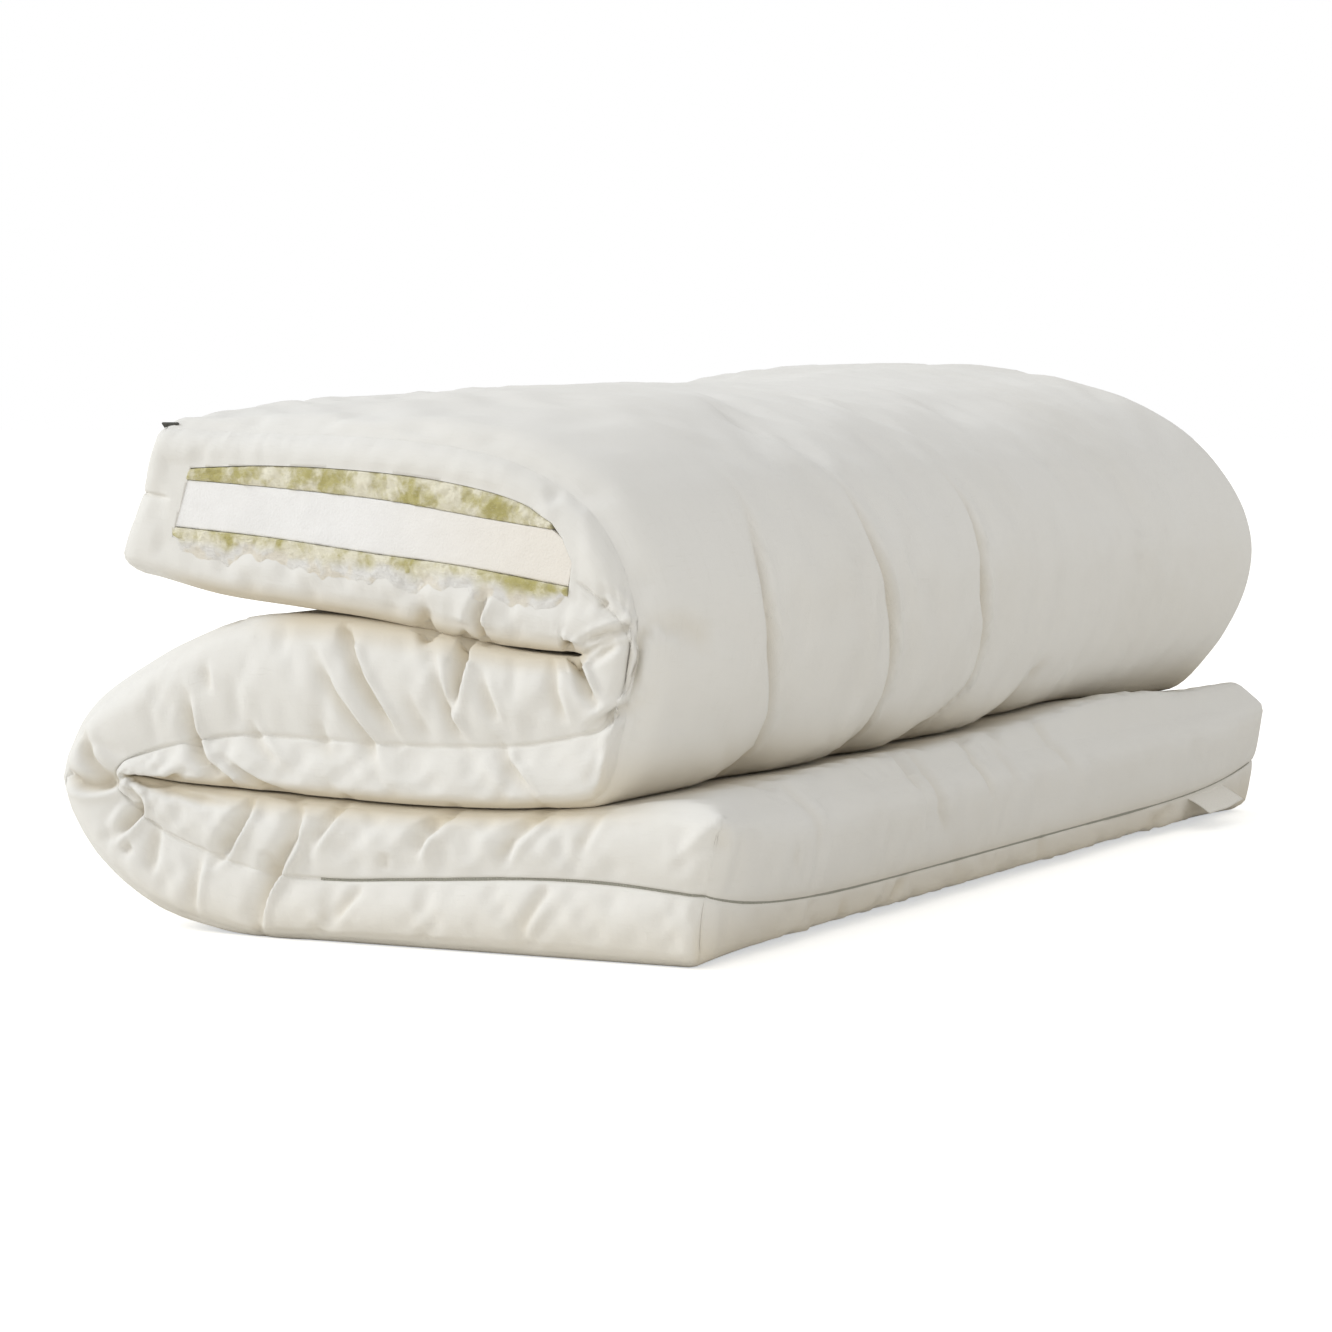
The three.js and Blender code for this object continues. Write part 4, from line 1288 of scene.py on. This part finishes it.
class FUTON_OT_stage(FutonOperator, bpy.types.Operator):
    """Makes the floor, the lights and the camera"""

    bl_idname = "futon.stage"
    bl_label = "Stage"

    def execute(self, context):
        stage = bpy.context.scene.futon_stage
        floor = bmesh.new()
        bmesh.ops.create_grid(floor, x_segments=4, y_segments=4, size=30.0)
        new_piece("floor", floor, floor_finish())
        self.surround(stage.surround)
        self.soft_light("key", (-0.77, -0.34, 0.54), math.radians(28), stage.key,
                        (0.95, 0.975, 1.0))
        self.soft_light("fill", (0.32, -0.87, 0.37), math.radians(45), stage.fill,
                        (1.0, 0.985, 0.94))
        self.camera(stage)
        bpy.context.scene.view_settings.view_transform = "Standard"
        return {"FINISHED"}

    def surround(self, strength):
        world = bpy.data.worlds.new("surround")
        bpy.context.scene.world = world
        world.use_nodes = True
        tree = world.node_tree
        light = tree.nodes["Background"]
        light.inputs["Color"].default_value = (1.0, 1.0, 1.0, 1.0)
        light.inputs["Strength"].default_value = strength
        seen = tree.nodes.new("ShaderNodeBackground")
        seen.inputs["Color"].default_value = (1.0, 1.0, 1.0, 1.0)
        path = tree.nodes.new("ShaderNodeLightPath")
        mix = tree.nodes.new("ShaderNodeMixShader")
        tree.links.new(path.outputs["Is Camera Ray"], mix.inputs[0])
        tree.links.new(light.outputs[0], mix.inputs[1])
        tree.links.new(seen.outputs[0], mix.inputs[2])
        tree.links.new(mix.outputs[0], tree.nodes["World Output"].inputs[0])

    def soft_light(self, name, direction, angle, strength, tint):
        """A distant light as wide as a large soft box, from the given direction."""
        lamp = bpy.data.lights.new(name, "SUN")
        lamp.energy, lamp.angle, lamp.color = strength, angle, tint
        light = bpy.data.objects.new(name, lamp)
        light.location = Vector(direction) * 3
        light.rotation_mode = "QUATERNION"
        light.rotation_quaternion = (-Vector(direction)).to_track_quat("-Z", "Y")
        bpy.context.scene.collection.objects.link(light)

    def camera(self, stage):
        a, e = stage.azimuth, stage.elevation
        back = Vector((math.sin(a) * math.cos(e), -math.cos(a) * math.cos(e), math.sin(e)))
        right = Vector((math.cos(a), math.sin(a), 0))
        up = back.cross(right)
        data = bpy.data.cameras.new("camera")
        data.sensor_width, data.lens, data.clip_end = 36.0, stage.lens, 100.0
        camera = bpy.data.objects.new("camera", data)
        aim = Vector((0, 0, AIM["height"])) - right * AIM["left"] - up * AIM["down"]
        camera.location = aim + back * stage.distance
        camera.rotation_mode = "QUATERNION"
        camera.rotation_quaternion = (-back).to_track_quat("-Z", "Y")
        bpy.context.scene.collection.objects.link(camera)
        bpy.context.scene.camera = camera


class FUTON_PT_panel(bpy.types.Panel):
    """Lists the pieces of the mattress"""

    bl_label = "Folded futon mattress"
    bl_space_type = "VIEW_3D"
    bl_region_type = "UI"
    bl_category = "Futon"

    def draw(self, context):
        for group in (context.scene.futon, context.scene.futon_stage):
            box = self.layout.box()
            for name in group.bl_rna.properties.keys():
                if name not in ("rna_type", "name"):
                    box.prop(group, name)
        for operator in OPERATORS:
            self.layout.operator(operator.bl_idname)


OPERATORS = (
    FUTON_OT_stage, FUTON_OT_case, FUTON_OT_filling, FUTON_OT_zip, FUTON_OT_label,
    FUTON_OT_corner_tab)
CLASSES = (FutonMattressSettings, FutonStageSettings, *OPERATORS, FUTON_PT_panel)


def register():
    for cls in CLASSES:
        bpy.utils.register_class(cls)
    bpy.types.Scene.futon = bpy.props.PointerProperty(type=FutonMattressSettings)
    bpy.types.Scene.futon_stage = bpy.props.PointerProperty(type=FutonStageSettings)


def unregister():
    del bpy.types.Scene.futon_stage
    del bpy.types.Scene.futon
    for cls in reversed(CLASSES):
        bpy.utils.unregister_class(cls)


def main():
    register()
    for operator in OPERATORS:
        group, name = operator.bl_idname.split(".")
        getattr(getattr(bpy.ops, group), name)()


if __name__ == "__main__":
    main()
